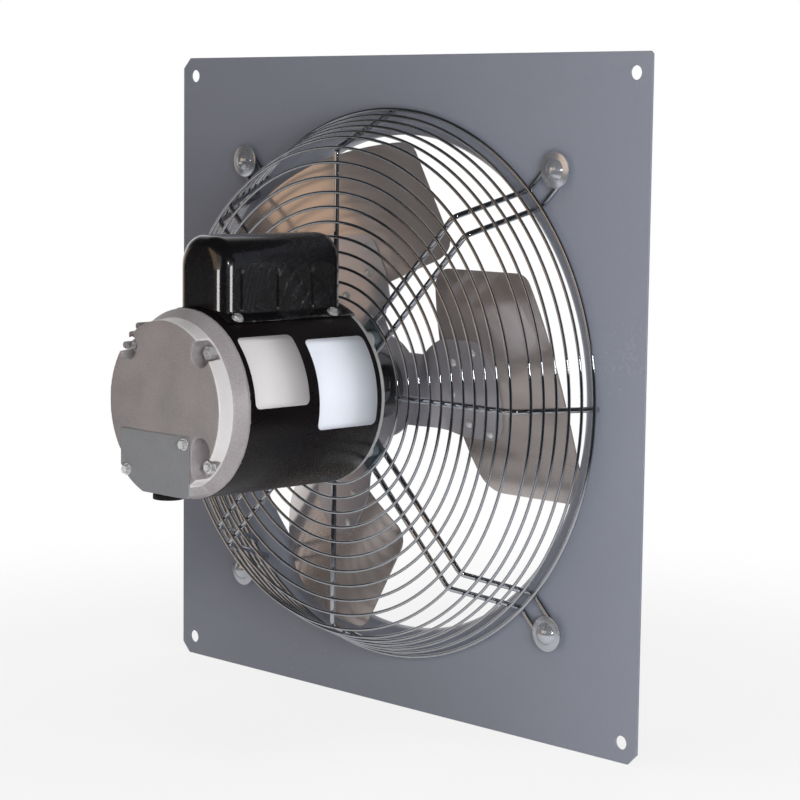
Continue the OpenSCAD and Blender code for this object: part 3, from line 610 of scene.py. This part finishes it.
# %% Foot bolts
shank_r, shank_end, chamfer = 3.175, -7.5, 0.5
flange_r, flange_t, rim_r = 12.5, 1.6, 0.6
dome_r, dome_h, fillet, sag = 7.8, 5.0, 0.6, 0.1
seat = foot_level + leg_wire / 2 + touch
dome_foot = seat + flange_t
ball_r = (dome_r ** 2 + dome_h ** 2) / (2 * dome_h)
ball_at = dome_foot + dome_h - ball_r
bm = bmesh.new()
vert = bm.verts.new((0, shank_end, 0))
vert = scribe(bm, vert, shank_r - chamfer, shank_end)
vert = scribe(bm, vert, shank_r, shank_end + chamfer)
vert = scribe(bm, vert, shank_r, seat)
vert = scribe(bm, vert, flange_r - chamfer, seat)
vert = sweep(bm, vert, flange_r - chamfer, seat + rim_r, 180, 6)
vert = scribe(bm, vert, dome_r + fillet, dome_foot - sag)
vert = scribe(bm, vert, dome_r, dome_foot)
sweep(bm, vert, 0, ball_at, math.degrees(math.acos((dome_foot - ball_at) / ball_r)), 10)
lathe(bm, 36)
bmesh.ops.translate(bm, verts=bm.verts, vec=(foot_r, 0, 0))
around(bm, 4, 45)
fit_piece(bm, "foot_bolts_domed", "foot_bolts", bolt_polish)

# %% [markdown]
# The shell of the motor is a rolled and welded tube with turned-in edges. It is the largest smooth black
# surface, so it is spun with many steps: a coarse tube would show as broken highlights.

# %% Motor shell
SHELL_STEPS = 160
shell_t, edge_r = 1.6, 0.6
bm = bmesh.new()
inner = motor_r - shell_t
first = vert = bm.verts.new((inner, shell_low.z, 0))
vert = scribe(bm, vert, motor_r - edge_r, shell_low.z)
vert = sweep(bm, vert, motor_r - edge_r, shell_low.z + edge_r, 90, 4)
vert = scribe(bm, vert, motor_r, shell_high.z - edge_r)
vert = sweep(bm, vert, motor_r - edge_r, shell_high.z - edge_r, 90, 4)
vert = scribe(bm, vert, inner, shell_high.z)
bm.edges.new((vert, first))
lathe(bm, SHELL_STEPS)
fit_piece(bm, "motor_shell_tube", "motor_shell", shell_enamel)

# %% [markdown]
# Cast and machined pieces keep the solid's shape, which is already right. A copy of the solid's mesh is
# merged, its flat triangles are joined to whole faces, and a bevel rounds what is left of the edges.

# %% Pieces taken over from their solids
WELD, FLAT_DEGREES = 0.002, 0.5


def copy_solid(node):
    bm = bmesh.new()
    bm.from_mesh(frame["nodes"][node].data)
    bmesh.ops.remove_doubles(bm, verts=bm.verts, dist=WELD * MM)
    bmesh.ops.dissolve_limit(bm, angle_limit=math.radians(FLAT_DEGREES), verts=bm.verts, edges=bm.edges)
    return bm


taken_over = [
    ("motor_tabs_pressed", "motor_tabs", tab_steel, 0.35),
    ("foot_nuts_flanged", "foot_nuts", zinc_plate, 0.35),
    ("front_bell_casting", "front_end_bell", front_cast, 0.4),
    ("through_bolt_rods", "through_bolts", zinc_plate, 0.4),
    ("stud_nuts_hexagon", "stud_nuts", zinc_plate, 0.4),
    ("rear_nuts_hexagon", "rear_nuts", zinc_plate, 0.4),
    ("cover_screws_hexagon", "capacitor_cover_screws", zinc_plate, 0.3),
    ("terminal_plate_sheet", "terminal_cover", plate_zinc, 0.25),
    ("terminal_plate_screws", "terminal_cover_screws", zinc_plate, 0.3),
    ("conduit_plug_moulded", "conduit_plug", plug_nylon, 0.5),
    ("hub_turned", "propeller_hub", turned_steel, 0.5),
    ("hub_set_screw_points", "hub_set_screws", zinc_plate, 0.25),
]
for name, node, finish, bevel in taken_over:
    fit_piece(copy_solid(node), name, node, finish, bevel=bevel, stand=False)

# %% [markdown]
# The rear bell is a casting: every edge is soft and every inner corner is filled, because metal will not
# flow into a sharp one. A bevel would round only the edges. A voxel remesh followed by smoothing rounds
# both, and its slight unevenness suits a tumbled casting.

# %% Rear bell casting
VOXEL = 0.9
bell = fit_piece(copy_solid("rear_end_bell"), "rear_bell_casting", "rear_end_bell", cast_aluminium,
                 stand=False)
voxels = bell.modifiers.new("cast", "REMESH")
voxels.mode = "VOXEL"
voxels.voxel_size = VOXEL * MM
voxels.use_smooth_shade = True
soften = bell.modifiers.new("soften", "SMOOTH")
soften.factor = 0.5
soften.iterations = 4

# %% [markdown]
# The capacitor sits under a deep-drawn cover: an arched box with round ends, a soft foot, and three shallow
# grooves pressed into each side. A box with bevels would come close, but its sides would have no rows of
# points to press the grooves into. So one half of the arch is scribed in small steps, and mirrored.

# %% Arch of the capacitor cover
SIDE_STEPS = 12
cover_low, cover_high = size_of("capacitor_cover")
half_w, arch_r, end_r, foot_fillet = 24.0, 19.0, 10.0, 5.0
tuck, flange_lap = 3.2, 1.5
cover_near, cover_far = cover_low.z + flange_lap, cover_high.z - flange_lap
cover_top = cover_high.y
side_foot = math.sqrt(motor_r ** 2 - half_w ** 2)
fillet_at, arch_at = side_foot - tuck + foot_fillet, cover_top - arch_r
bm = bmesh.new()
vert = bm.verts.new((half_w + foot_fillet, fillet_at - foot_fillet, 0))
vert = sweep(bm, vert, half_w + foot_fillet, fillet_at, -90, 6)
for i in range(1, SIDE_STEPS + 1):
    vert = scribe(bm, vert, half_w, fillet_at + (arch_at - fillet_at) * i / SIDE_STEPS)
vert = sweep(bm, vert, half_w - arch_r, arch_at, 90, 14)
vert = scribe(bm, vert, 0, cover_top)
bmesh.ops.mirror(bm, geom=bm.verts[:] + bm.edges[:], matrix=Matrix.Identity(4), merge_dist=SEAM, axis="X")
print(len(bm.verts), "points on the arch")

# %% [markdown]
# The arch is carried along the axis by extrusion, row by row. The rows lie close together where the ends
# will be rounded and at the edges of each groove, and far apart elsewhere, so that no point is wasted.

# %% Draw the cover out
END_STEPS, BODY_STEPS = 8, 44
GROOVES = (103.7, 135.5, 168.0)
GROOVE_FLAT, GROOVE_EDGE, GROOVE_DEPTH, GROOVE_END = 0.4, 1.6, 1.1, 3.0
ROW_GAP = 0.4
stations = [cover_near + end_r * (1 - math.cos(math.pi / 2 * i / END_STEPS)) for i in range(END_STEPS + 1)]
far_end = [cover_near + cover_far - z for z in reversed(stations)]
body_len = cover_far - cover_near - 2 * end_r
body = [cover_near + end_r + body_len * i / BODY_STEPS for i in range(1, BODY_STEPS)]
for groove_at in GROOVES:
    body = [z for z in body if abs(z - groove_at) > GROOVE_EDGE + ROW_GAP]
    body += [groove_at + step for step in (-GROOVE_EDGE, -GROOVE_FLAT, 0, GROOVE_FLAT, GROOVE_EDGE)]
arch, verts, at = bm.edges[:], bm.verts[:], 0.0
for i, z in enumerate(stations + sorted(body) + far_end):
    if i:
        arch, verts = grow(bm, arch)
    bmesh.ops.translate(bm, verts=verts, vec=(0, 0, z - at))
    at = z
print(len(bm.verts), "points on the drawn cover")

# %% [markdown]
# The ends are rounded and the grooves pressed in the same way: each point moves inwards by an amount that
# follows from where it lies. Cutting the grooves with a boolean would leave ragged faces in the highlights.
# The walls of the grooves are steep, so that they mirror the dark side of the room and show as dark lines.

# %% Close the ends and press the grooves
keel_drop, foot_margin, arch_margin = 4.0, 1.0, 4.0
keel = side_foot - keel_drop
groove_foot, groove_top = side_foot + foot_margin, arch_at - arch_margin


def clamp(t):
    return min(1, max(0, t))


def end_inset(z):
    near = max(0, min(z - cover_near, cover_far - z))
    return 0.0 if near >= end_r else end_r - math.sqrt(end_r ** 2 - (end_r - near) ** 2)


def groove(z, y):
    rise = clamp((groove_top - y) / GROOVE_END) * clamp((y - groove_foot) / GROOVE_END)
    off = min(abs(z - groove_at) for groove_at in GROOVES)
    return GROOVE_DEPTH * rise * clamp((GROOVE_EDGE - off) / (GROOVE_EDGE - GROOVE_FLAT))


for vert in bm.verts:
    x, y, z = vert.co
    inset = end_inset(z)
    pull = groove(z, y) * min(1, abs(x) / half_w)
    vert.co.x = math.copysign(max(0, abs(x) * (1 - inset / half_w) - pull), x)
    vert.co.y = keel + (y - keel) * (1 - inset / (cover_top - keel))
ends = [e for e in bm.edges if e.is_boundary]
for z in (cover_near, cover_far):
    rim = [e for e in ends if all(abs(v.co.z - z) < SEAM for v in e.verts)]
    low = [v for v in {v for e in rim for v in e.verts} if sum(e in v.link_edges for e in rim) == 1]
    rim.append(bm.edges.new(low))
    bmesh.ops.edgeloop_fill(bm, edges=rim)
bmesh.ops.recalc_face_normals(bm, faces=bm.faces)
print("grooves pressed")

# %% [markdown]
# The cover's flange lies on the shell like a saddle, held by four screws. A flat grid is bent to the
# shell's radius by moving each point round the axis.

# %% Flange of the cover
foot_x, cover_t, saddle_gap = 33.5, 1.2, 0.05
reach = math.asin(foot_x / (motor_r + cover_t))
radius = motor_r + saddle_gap + cover_t
saddle = bmesh.ops.create_grid(bm, x_segments=24, y_segments=2, size=1)["verts"]
for vert in saddle:
    angle = math.pi / 2 - vert.co.x * reach
    z = cover_low.z + (cover_high.z - cover_low.z) * (vert.co.y + 1) / 2
    vert.co = (radius * math.cos(angle), radius * math.sin(angle), z)
bmesh.ops.reverse_faces(bm, faces=list({f for v in saddle for f in v.link_faces}))
cover = fit_piece(bm, "capacitor_cover_drawn", "capacitor_cover", cover_enamel, sheet=cover_t, crease=25)

# %% [markdown]
# Two blank labels wrap round the shell. One is matt silver film and one is white film. Such film is smooth
# and even, so these finishes hardly vary, and they stay matt enough not to mirror the lamps.

# %% Label finishes
label_foil = layered("polyester_film_matt_silver", ("#c9c7c8", "#cfcdce"), 0.0, (0.36, 0.46),
                     cloud=25, grain=1.2, relief=0.004)
label_film = layered("polyester_film_white", ("#dbe1ec", "#e1e6ef"), 0.0, (0.3, 0.4),
                     cloud=25, grain=1.2, relief=0.004)
print("label finishes laid")

# %% [markdown]
# A label is a rectangle with round corners, cut into strips by planes so that it can bend, wrapped to the
# shell and given the thickness of film. A strip taken from the shell's own mesh would fit too, but could
# not have the round corners.

# %% Labels
LABEL_T, LABEL_CORNER, LABEL_GAP, LABEL_STRIPS = 0.25, 4.0, 0.03, 24


def wrap_label(name, node, finish, angles, ends):
    """Wraps a label between two angles in degrees and two levels in millimetres."""
    radius = motor_r + LABEL_GAP + LABEL_T
    start = math.radians(angles[0])
    wide = math.radians(angles[1] - angles[0]) * radius
    long = ends[1] - ends[0]
    bm = bmesh.new()
    bmesh.ops.create_grid(bm, x_segments=1, y_segments=1, size=0.5)
    bmesh.ops.scale(bm, verts=bm.verts, vec=(wide, long, 1))
    bmesh.ops.bevel(bm, geom=bm.verts[:], offset=LABEL_CORNER, offset_type="OFFSET", affect="VERTICES",
                    segments=5, profile=0.5, material=-1)
    for i in range(1, LABEL_STRIPS):
        bmesh.ops.bisect_plane(bm, geom=everything(bm), plane_co=(wide * (i / LABEL_STRIPS - 0.5), 0, 0),
                               plane_no=(1, 0, 0))
    for vert in bm.verts:
        angle = start + (vert.co.x + wide / 2) / radius
        vert.co = (radius * math.cos(angle), radius * math.sin(angle), ends[0] + vert.co.y + long / 2)
    bmesh.ops.recalc_face_normals(bm, faces=bm.faces)
    face = bm.faces[:][0]
    if face.normal.dot(Vector((*face.calc_center_median().xy, 0))) < 0:
        bmesh.ops.reverse_faces(bm, faces=bm.faces)
    fit_piece(bm, name, node, finish, sheet=LABEL_T)


rating_angles, rating_ends = (1.4, 46.9), (142.0, 189.8)
side_angles, side_ends = (-15.3, 42.0), (79.1, 132.8)
wrap_label("rating_label_blank", "rating_label", label_foil, rating_angles, rating_ends)
wrap_label("side_label_blank", "side_label", label_film, side_angles, side_ends)

# %% [markdown]
# A blade is cut flat and then rolled to a camber. Its outline is scribed with its four round corners and
# the tip on the propeller's circle, filled, and cut into strips by planes, because only a face with points
# inside can bend. The flat sheet gets its UV map first, so that the rolling lines follow each blade.

# %% Blade outline
BLADE_SHEET = 1.2
tip_gap, crest_out = 4.0, 26.0
tip_r = throat_r - tip_gap
root, lead, trail, corner_r = 68.0, 89.5, 74.5, 13.0
camber_r, camber_crest = 261.0, 91.0
camber_level = front + crest_out - camber_r


def camber(y, radius):
    return camber_level + math.sqrt(radius ** 2 - (y - camber_crest) ** 2)


def lay_uv(bm):
    uv = bm.loops.layers.uv.new("sheet")
    for face in bm.faces:
        for loop in face.loops:
            loop[uv].uv = loop.vert.co.xy * MM


def scribe_blade(bm):
    lead_y, trail_y = lead - corner_r, corner_r - trail
    lead_x = math.sqrt((tip_r - corner_r) ** 2 - lead_y ** 2)
    trail_x = math.sqrt((tip_r - corner_r) ** 2 - trail_y ** 2)
    lead_angle = math.degrees(math.atan2(lead_y, lead_x))
    trail_angle = math.degrees(math.atan2(trail_y, trail_x))
    vert = bm.verts.new((root, trail_y, 0))
    vert = scribe(bm, vert, root, lead_y)
    vert = sweep(bm, vert, root + corner_r, lead_y, -90, 6)
    vert = scribe(bm, vert, lead_x, lead)
    vert = sweep(bm, vert, lead_x, lead_y, lead_angle - 90, 5)
    vert = sweep(bm, vert, 0, 0, trail_angle - lead_angle, 24)
    vert = sweep(bm, vert, trail_x, trail_y, -90 - trail_angle, 5)
    vert = scribe(bm, vert, root + corner_r, -trail)
    sweep(bm, vert, root + corner_r, trail_y, -90, 6)
    bmesh.ops.remove_doubles(bm, verts=bm.verts, dist=SEAM)
    bmesh.ops.edgeloop_fill(bm, edges=bm.edges[:])


print("blade", round(tip_r - root), "mm long and", round(lead + trail), "mm wide")

# %% [markdown]
# Rolling lifts each point of the flat blade to the camber, a plain cylinder. A Simple Deform modifier bends
# too, but round its own origin, which would move the rivets' places. The three blades are one shape, turned
# by thirds.

# %% Roll the blades
BLADES, STRIP = 3, 9.0
for i in range(BLADES):
    bm = bmesh.new()
    scribe_blade(bm)
    for normal, low, high in (((0, 1, 0), -trail, lead), ((1, 0, 0), root, tip_r)):
        for cut in range(1, math.ceil((high - low) / STRIP)):
            bmesh.ops.bisect_plane(bm, geom=everything(bm), plane_co=Vector(normal) * (low + cut * STRIP),
                                   plane_no=normal)
    lay_uv(bm)
    for vert in bm.verts:
        vert.co.z = camber(vert.co.y, camber_r)
    bmesh.ops.recalc_face_normals(bm, faces=bm.faces)
    if sum(f.normal.z for f in bm.faces) < 0:
        bmesh.ops.reverse_faces(bm, faces=bm.faces)
    place = Matrix.Rotation(math.tau * i / BLADES, 3, "Z")
    bmesh.ops.rotate(bm, verts=bm.verts, cent=(0, 0, 0), matrix=place)
    fit_piece(bm, f"blade_{i + 1}_rolled", f"blade_{i + 1}", blade_sheet, bevel=0.3, sheet=BLADE_SHEET)

# %% [markdown]
# The spider is a pressed sheet: a centre disc with three arms that flare into pads and twist up to the
# blades' camber. Each arm is a grid whose rows are widened, rounded off at the end and lifted from the flat
# of the disc to the camber. Doing it by rows keeps the twist as smooth as a press would leave it.

# %% Spider
SPIDER_SHEET, SPIDER_GAP = 2.0, 0.1
disc_r, bore_r, disc_gap = 38.0, 11.0, 0.05
arm_end, arm_lap, arm_cap, cap_least = 118.0, 17.0, 19.0, 0.03
neck, pad, pad_shift = 26.0, 36.0, 4.0
flare_at, flare_len, shift_len = disc_r + 5, 34.0, 32.0
lift_at, lift_len = disc_r + 1, 20.0
arm_surface = camber_r + SPIDER_GAP + SPIDER_SHEET
disc_level = camber(0, arm_surface)
arm_in, arm_round = disc_r - arm_lap, arm_end - arm_cap


def ease(t):
    t = clamp(t)
    return t * t * (3 - 2 * t)


def press_arm(u, across):
    taper = math.sqrt(1 - clamp((u - arm_round) / arm_cap) ** 2)
    half = (neck + (pad - neck) * ease((u - flare_at) / flare_len)) * max(taper, cap_least)
    y = pad_shift * ease((u - flare_at) / shift_len) + half * across
    lift = ease((u - lift_at) / lift_len)
    return Vector((u, y, (disc_level - disc_gap) * (1 - lift) + camber(y, arm_surface) * lift))


bm = bmesh.new()
bmesh.ops.create_grid(bm, x_segments=36, y_segments=14, size=1)
for vert in bm.verts:
    along = math.sin(math.pi / 2 * (vert.co.x + 1) / 2)
    vert.co = press_arm(arm_in + (arm_end - arm_in) * along, vert.co.y)
around(bm, BLADES)
hole = bmesh.ops.create_circle(bm, segments=72, radius=bore_r,
                               matrix=Matrix.Translation((0, 0, disc_level)))["verts"]
rim = grow(bm, edges_of(hole))[1]
bmesh.ops.scale(bm, verts=rim, vec=(disc_r / bore_r, disc_r / bore_r, 1))
lay_uv(bm)
bm.normal_update()
bmesh.ops.reverse_faces(bm, faces=[f for f in bm.faces if f.normal.z < 0])
fit_piece(bm, "spider_pressed", "spider", spider_steel, bevel=0.35, sheet=SPIDER_SHEET)

# %% [markdown]
# Five rivets hold each blade to its pad. Each is turned with a low domed head in front and an upset head at
# the back, and set square on the blade's camber.

# %% Rivets
RIVET_SPOTS = [(100, 32), (80, 24), (73, 1), (81, -20), (99, -26)]
rivet_r, head_r, head_rim, head_drop = 1.75, 3.0, 0.5, 3.2
tail_h, tail_rim, tail_chamfer = 1.6, 0.6, 0.5
head_gap, tail_gap = 0.06, 0.1
head_seat, tail_seat = SPIDER_GAP + SPIDER_SHEET + head_gap, -BLADE_SHEET - tail_gap
head_top = head_seat + head_rim
bm = bmesh.new()
for x, y in RIVET_SPOTS:
    one = bmesh.new()
    vert = one.verts.new((0, tail_seat - tail_h, 0))
    for corner in ((head_r - tail_chamfer, tail_seat - tail_h), (head_r, tail_seat - tail_rim),
                   (head_r, tail_seat), (rivet_r, tail_seat), (rivet_r, head_seat),
                   (head_r, head_seat), (head_r, head_top)):
        vert = scribe(one, vert, *corner)
    sweep(one, vert, 0, head_top - head_drop, math.degrees(math.atan2(head_r, head_drop)), 6)
    lathe(one, 20)
    lean = math.asin((y - camber_crest) / camber_r)
    place = (Matrix.Translation((x, camber_crest, camber_level)) @ Matrix.Rotation(-lean, 4, "X")
             @ Matrix.Translation((0, 0, camber_r)))
    bmesh.ops.transform(one, matrix=place, verts=one.verts)
    mesh = bpy.data.meshes.new("rivet")
    one.to_mesh(mesh)
    one.free()
    bm.from_mesh(mesh)
    bpy.data.meshes.remove(mesh)
around(bm, BLADES)
fit_piece(bm, "blade_rivets_domed", "blade_rivets", zinc_plate)

# %% [markdown]
# The camera stands where the photograph was taken from: to the right of the fan's axis, a little above it,
# with a long lens. Its place and its slight roll were worked out from the panel's edges and corner holes.

# %% Camera
IMAGE = 800
focal_px = 2383.5
eye = Vector((1232.8, -1214.3, 190.4)) * MM
aim = Vector((8.6, -1.5, -10.9)) * MM
roll = math.radians(0.68)
view = (aim - eye).normalized()
right = view.cross(Vector((0, 0, 1))).normalized()
upward = right.cross(view)
right, upward = (right * math.cos(roll) + upward * math.sin(roll),
                 upward * math.cos(roll) - right * math.sin(roll))
lens = bpy.data.cameras.new("camera")
lens.sensor_width = 36
lens.lens = focal_px / IMAGE * lens.sensor_width
camera = bpy.data.objects.new("camera", lens)
camera.matrix_world = Matrix((
    (right.x, upward.x, -view.x, eye.x), (right.y, upward.y, -view.y, eye.y),
    (right.z, upward.z, -view.z, eye.z), (0, 0, 0, 1)))
scene.collection.objects.link(camera)
bpy.context.scene.camera = camera
print("camera", round((eye - aim).length, 2), "m away")

# %% [markdown]
# The studio is white behind the fan and dark around the camera, which is what gives plated wire its dark
# cores and bright edges. The world does both: white to the camera, and to reflections a white that falls
# off towards the camera's side. Everything else gets a plain even fill.

# %% World
FILL, DARK_SIDE = 0.11, 0.03
BACKDROP_EDGE, BACKDROP_FULL = 0.45, 0.92
SMOOTH = {"interpolation_type": "SMOOTHSTEP"}


def ray_kinds(tree):
    """Whether a ray comes from the camera, and whether it comes off metal or through glass."""
    path = add(tree, "ShaderNodeLightPath").outputs
    mirrored = add(tree, "ShaderNodeMath", {"operation": "MAXIMUM"},
                   {0: path["Is Glossy Ray"], 1: path["Is Transmission Ray"]})
    return path["Is Camera Ray"], mirrored.outputs[0]


scene.view_settings.view_transform = "Standard"
world = bpy.data.worlds.new("studio")
scene.world = world
world.use_nodes = True
tree = world.node_tree
from_camera, mirrored = ray_kinds(tree)
direction = add(tree, "ShaderNodeTexCoord").outputs["Generated"]
to_camera = add(tree, "ShaderNodeVectorMath", {"operation": "DOT_PRODUCT", 1: -view}, {0: direction})
room = add(tree, "ShaderNodeMapRange",
           SMOOTH | {"From Min": -BACKDROP_FULL, "From Max": -BACKDROP_EDGE,
                     "To Min": 1.0, "To Max": DARK_SIDE},
           {"Value": to_camera.outputs["Value"]})
lit = add(tree, "ShaderNodeMix", {2: FILL}, {0: mirrored, 3: room.outputs["Result"]})
seen = add(tree, "ShaderNodeMix", {3: 1.0}, {0: from_camera, 2: lit.outputs[0]})
back = tree.nodes["Background"]
back.inputs["Color"].default_value = linear("#ffffff")
tree.links.new(seen.outputs[0], back.inputs["Strength"])
print("world white behind the fan, fill", FILL)

# %% [markdown]
# A wide soft light on the right, close by, is the key: the panel gets darker away from it. A soft light
# overhead lifts the tops, and one behind shows the back. They are kept out of the reflections, where a
# small strobe takes the key's place: plated wire shows it as one compact spark on each ring. Its light
# stops at the wires, because what they would throw on to the panel comes out as speckle. Three dim cards
# stand where the blades look: a warm one in front tints the upper blade, a grey one beside it and one at
# the left keep the others from going black. Two low boxes are flagged so that they reach the capacitor
# cover alone, and show as two upright bars on its corner.

# %% Lamps
FAR = 1.9


def softbox(name, azimuth, elevation, distance, wide, high, watts, tint="#ffffff", mirrored=True):
    """Aims a soft box at the fan from two angles in degrees. Its distance and size are in metres."""
    a, e = math.radians(azimuth), math.radians(elevation)
    lamp = bpy.data.lights.new(name, "AREA")
    lamp.shape = "RECTANGLE"
    lamp.size, lamp.size_y = wide, high
    lamp.energy = watts
    lamp.color = linear(tint)[:3]
    box = bpy.data.objects.new(name, lamp)
    box.location = Vector((math.sin(a) * math.cos(e), -math.cos(a) * math.cos(e), math.sin(e))) * distance
    box.rotation_euler = box.location.to_track_quat("Z", "Y").to_euler()
    box.visible_glossy = mirrored
    box.visible_camera = False
    scene.collection.objects.link(box)
    print(name, watts, "W")
    return box


def no_second_hand(box):
    """Stops a lamp's light where it would come off one surface on to another."""
    box.data.use_nodes = True
    tree = box.data.node_tree
    path = add(tree, "ShaderNodeLightPath")
    direct = add(tree, "ShaderNodeMath", {"operation": "LESS_THAN", 1: 0.5},
                 {0: path.outputs["Diffuse Depth"]})
    tree.links.new(direct.outputs[0], tree.nodes["Emission"].inputs["Strength"])


softbox("soft_right", 58, 4, 1.25, 0.6, 0.6, 10, mirrored=False)
softbox("soft_top", 0, 72, 1.6, 0.8, 0.8, 6, mirrored=False)
softbox("soft_back", 205, 25, 1.6, 0.8, 0.8, 5, mirrored=False)
no_second_hand(softbox("strobe_right", 76, 9, FAR, 0.14, 0.14, 2.5))
softbox("card_warm", -17, 13, FAR, 0.95, 0.8, 2.4, "#ffdcb8")
softbox("card_grey", 12, 15, FAR, 0.75, 0.8, 1.1, "#ffeee6")
softbox("card_left", -80, 4, FAR, 1.2, 0.7, 1.15, "#ffe6d6")
flagged = bpy.data.collections.new("capacitor_cover_alone")
flagged.objects.link(cover)
for name, azimuth in (("low_box_front", 5), ("low_box_side", 102)):
    softbox(name, azimuth, -1.2, FAR, 0.6, 0.18, 4).light_linking.receiver_collection = flagged

# %% [markdown]
# The floor is a wide sheet of white paper, a hair below the fan. A curved backdrop would hide the horizon
# too, but a flat sheet that turns to the background's white does it without a curve to light.

# %% Floor
FLOOR_HALF, FLOOR_GAP = 6, 0.0005
floor_level = cad_box[0][2] - FLOOR_GAP
bm = bmesh.new()
bmesh.ops.create_grid(bm, x_segments=1, y_segments=1, size=FLOOR_HALF,
                      matrix=Matrix.Translation((0, 0, floor_level)))
floor_mesh = bpy.data.meshes.new("floor")
bm.to_mesh(floor_mesh)
bm.free()
floor = bpy.data.objects.new("floor", floor_mesh)
scene.collection.objects.link(floor)
print("floor at", round(floor_level, 4), "m")

# %% [markdown]
# The paper is pale and takes the fan's soft shadow. Away from the fan it turns to the plain white of the
# background, so that no horizon line crosses the picture. In reflections it is white only behind the fan,
# close round it and on one sheet at the left front, which the right blade shows as its light band. The rest
# of the floor is as dark as the room, so that the wires keep their dark cores. Each radius is in metres
# from the fan.

# %% Floor finish
SHADOW_R, WHITE_R, SHADOW_PALE = 0.25, 0.8, 0.82
PAPER_R, PAPER_END, PAPER_WHITE = 0.3, 0.6, 0.38
ROOM_R, ROOM_END = 0.3, 0.7
SHEET_AT, SHEET_R, SHEET_END = (-1.0, -1.16, 0), 0.42, 0.74
backdrop, tree, shader = start_finish("paper_backdrop_white", 0.0)
shader.inputs["Base Color"].default_value = linear("#f4f4f4")
shader.inputs["Roughness"].default_value = 0.9
from_camera, mirrored = ray_kinds(tree)
place = add(tree, "ShaderNodeTexCoord").outputs["Object"]
spot = add(tree, "ShaderNodeVectorMath", {"operation": "MULTIPLY", 1: (1, 1, 0)}, {0: place}).outputs[0]
away = add(tree, "ShaderNodeVectorMath", {"operation": "LENGTH"}, {0: spot}).outputs["Value"]
heading = add(tree, "ShaderNodeVectorMath", {"operation": "NORMALIZE"}, {0: spot})
behind = add(tree, "ShaderNodeVectorMath", {"operation": "DOT_PRODUCT", 1: view}, {0: heading.outputs[0]})
sheet_away = add(tree, "ShaderNodeVectorMath", {"operation": "DISTANCE", 1: SHEET_AT}, {0: spot})
backdrop_share = add(tree, "ShaderNodeMapRange",
                     SMOOTH | {"From Min": BACKDROP_EDGE, "From Max": BACKDROP_FULL},
                     {"Value": behind.outputs["Value"]})
paper_share = add(tree, "ShaderNodeMapRange",
                  SMOOTH | {"From Min": PAPER_R, "From Max": PAPER_END,
                            "To Min": PAPER_WHITE, "To Max": 0.0},
                  {"Value": away})
sheet_share = add(tree, "ShaderNodeMapRange",
                  SMOOTH | {"From Min": SHEET_R, "From Max": SHEET_END, "To Min": 1.0, "To Max": 0.0},
                  {"Value": sheet_away.outputs["Value"]})
white = backdrop_share.outputs["Result"]
for share in (paper_share, sheet_share):
    white = add(tree, "ShaderNodeMath", {"operation": "MAXIMUM"},
                {0: white, 1: share.outputs["Result"]}).outputs[0]
reflected = add(tree, "ShaderNodeMath", {"operation": "MULTIPLY"}, {0: mirrored, 1: white})
shown = add(tree, "ShaderNodeMath", {"operation": "MAXIMUM"}, {0: reflected.outputs[0], 1: from_camera})
pale = add(tree, "ShaderNodeMapRange",
           SMOOTH | {"From Min": SHADOW_R, "From Max": WHITE_R, "To Min": SHADOW_PALE}, {"Value": away})
share = add(tree, "ShaderNodeMath", {"operation": "MULTIPLY"},
            {0: shown.outputs[0], 1: pale.outputs["Result"]})
print("floor white behind the fan and within", PAPER_R, "m of it")

# %% [markdown]
# Three shaders are then laid over each other: the paper itself, the dark of the room where only a mirror
# sees the floor, and a plain white glow of strength 1 where the floor counts as background.

# %% Floor layers
dark = add(tree, "ShaderNodeMapRange", SMOOTH | {"From Min": ROOM_R, "From Max": ROOM_END}, {"Value": away})
unlit = add(tree, "ShaderNodeMath", {"operation": "MULTIPLY"}, {0: dark.outputs["Result"], 1: mirrored})
room = add(tree, "ShaderNodeEmission", {"Color": linear("#ffffff"), "Strength": DARK_SIDE})
glow = add(tree, "ShaderNodeEmission", {"Color": linear("#ffffff"), "Strength": 1.0})
plain = add(tree, "ShaderNodeMixShader",
            links={0: unlit.outputs[0], 1: shader.outputs[0], 2: room.outputs[0]})
blend = add(tree, "ShaderNodeMixShader",
            links={0: share.outputs[0], 1: plain.outputs[0], 2: glow.outputs[0]})
tree.links.new(blend.outputs[0], tree.nodes["Material Output"].inputs["Surface"])
floor_mesh.materials.append(backdrop)
print("floor finish laid")

# %% [markdown]
# Last, the script says that it is done.

# %% Done
print("all pieces built")
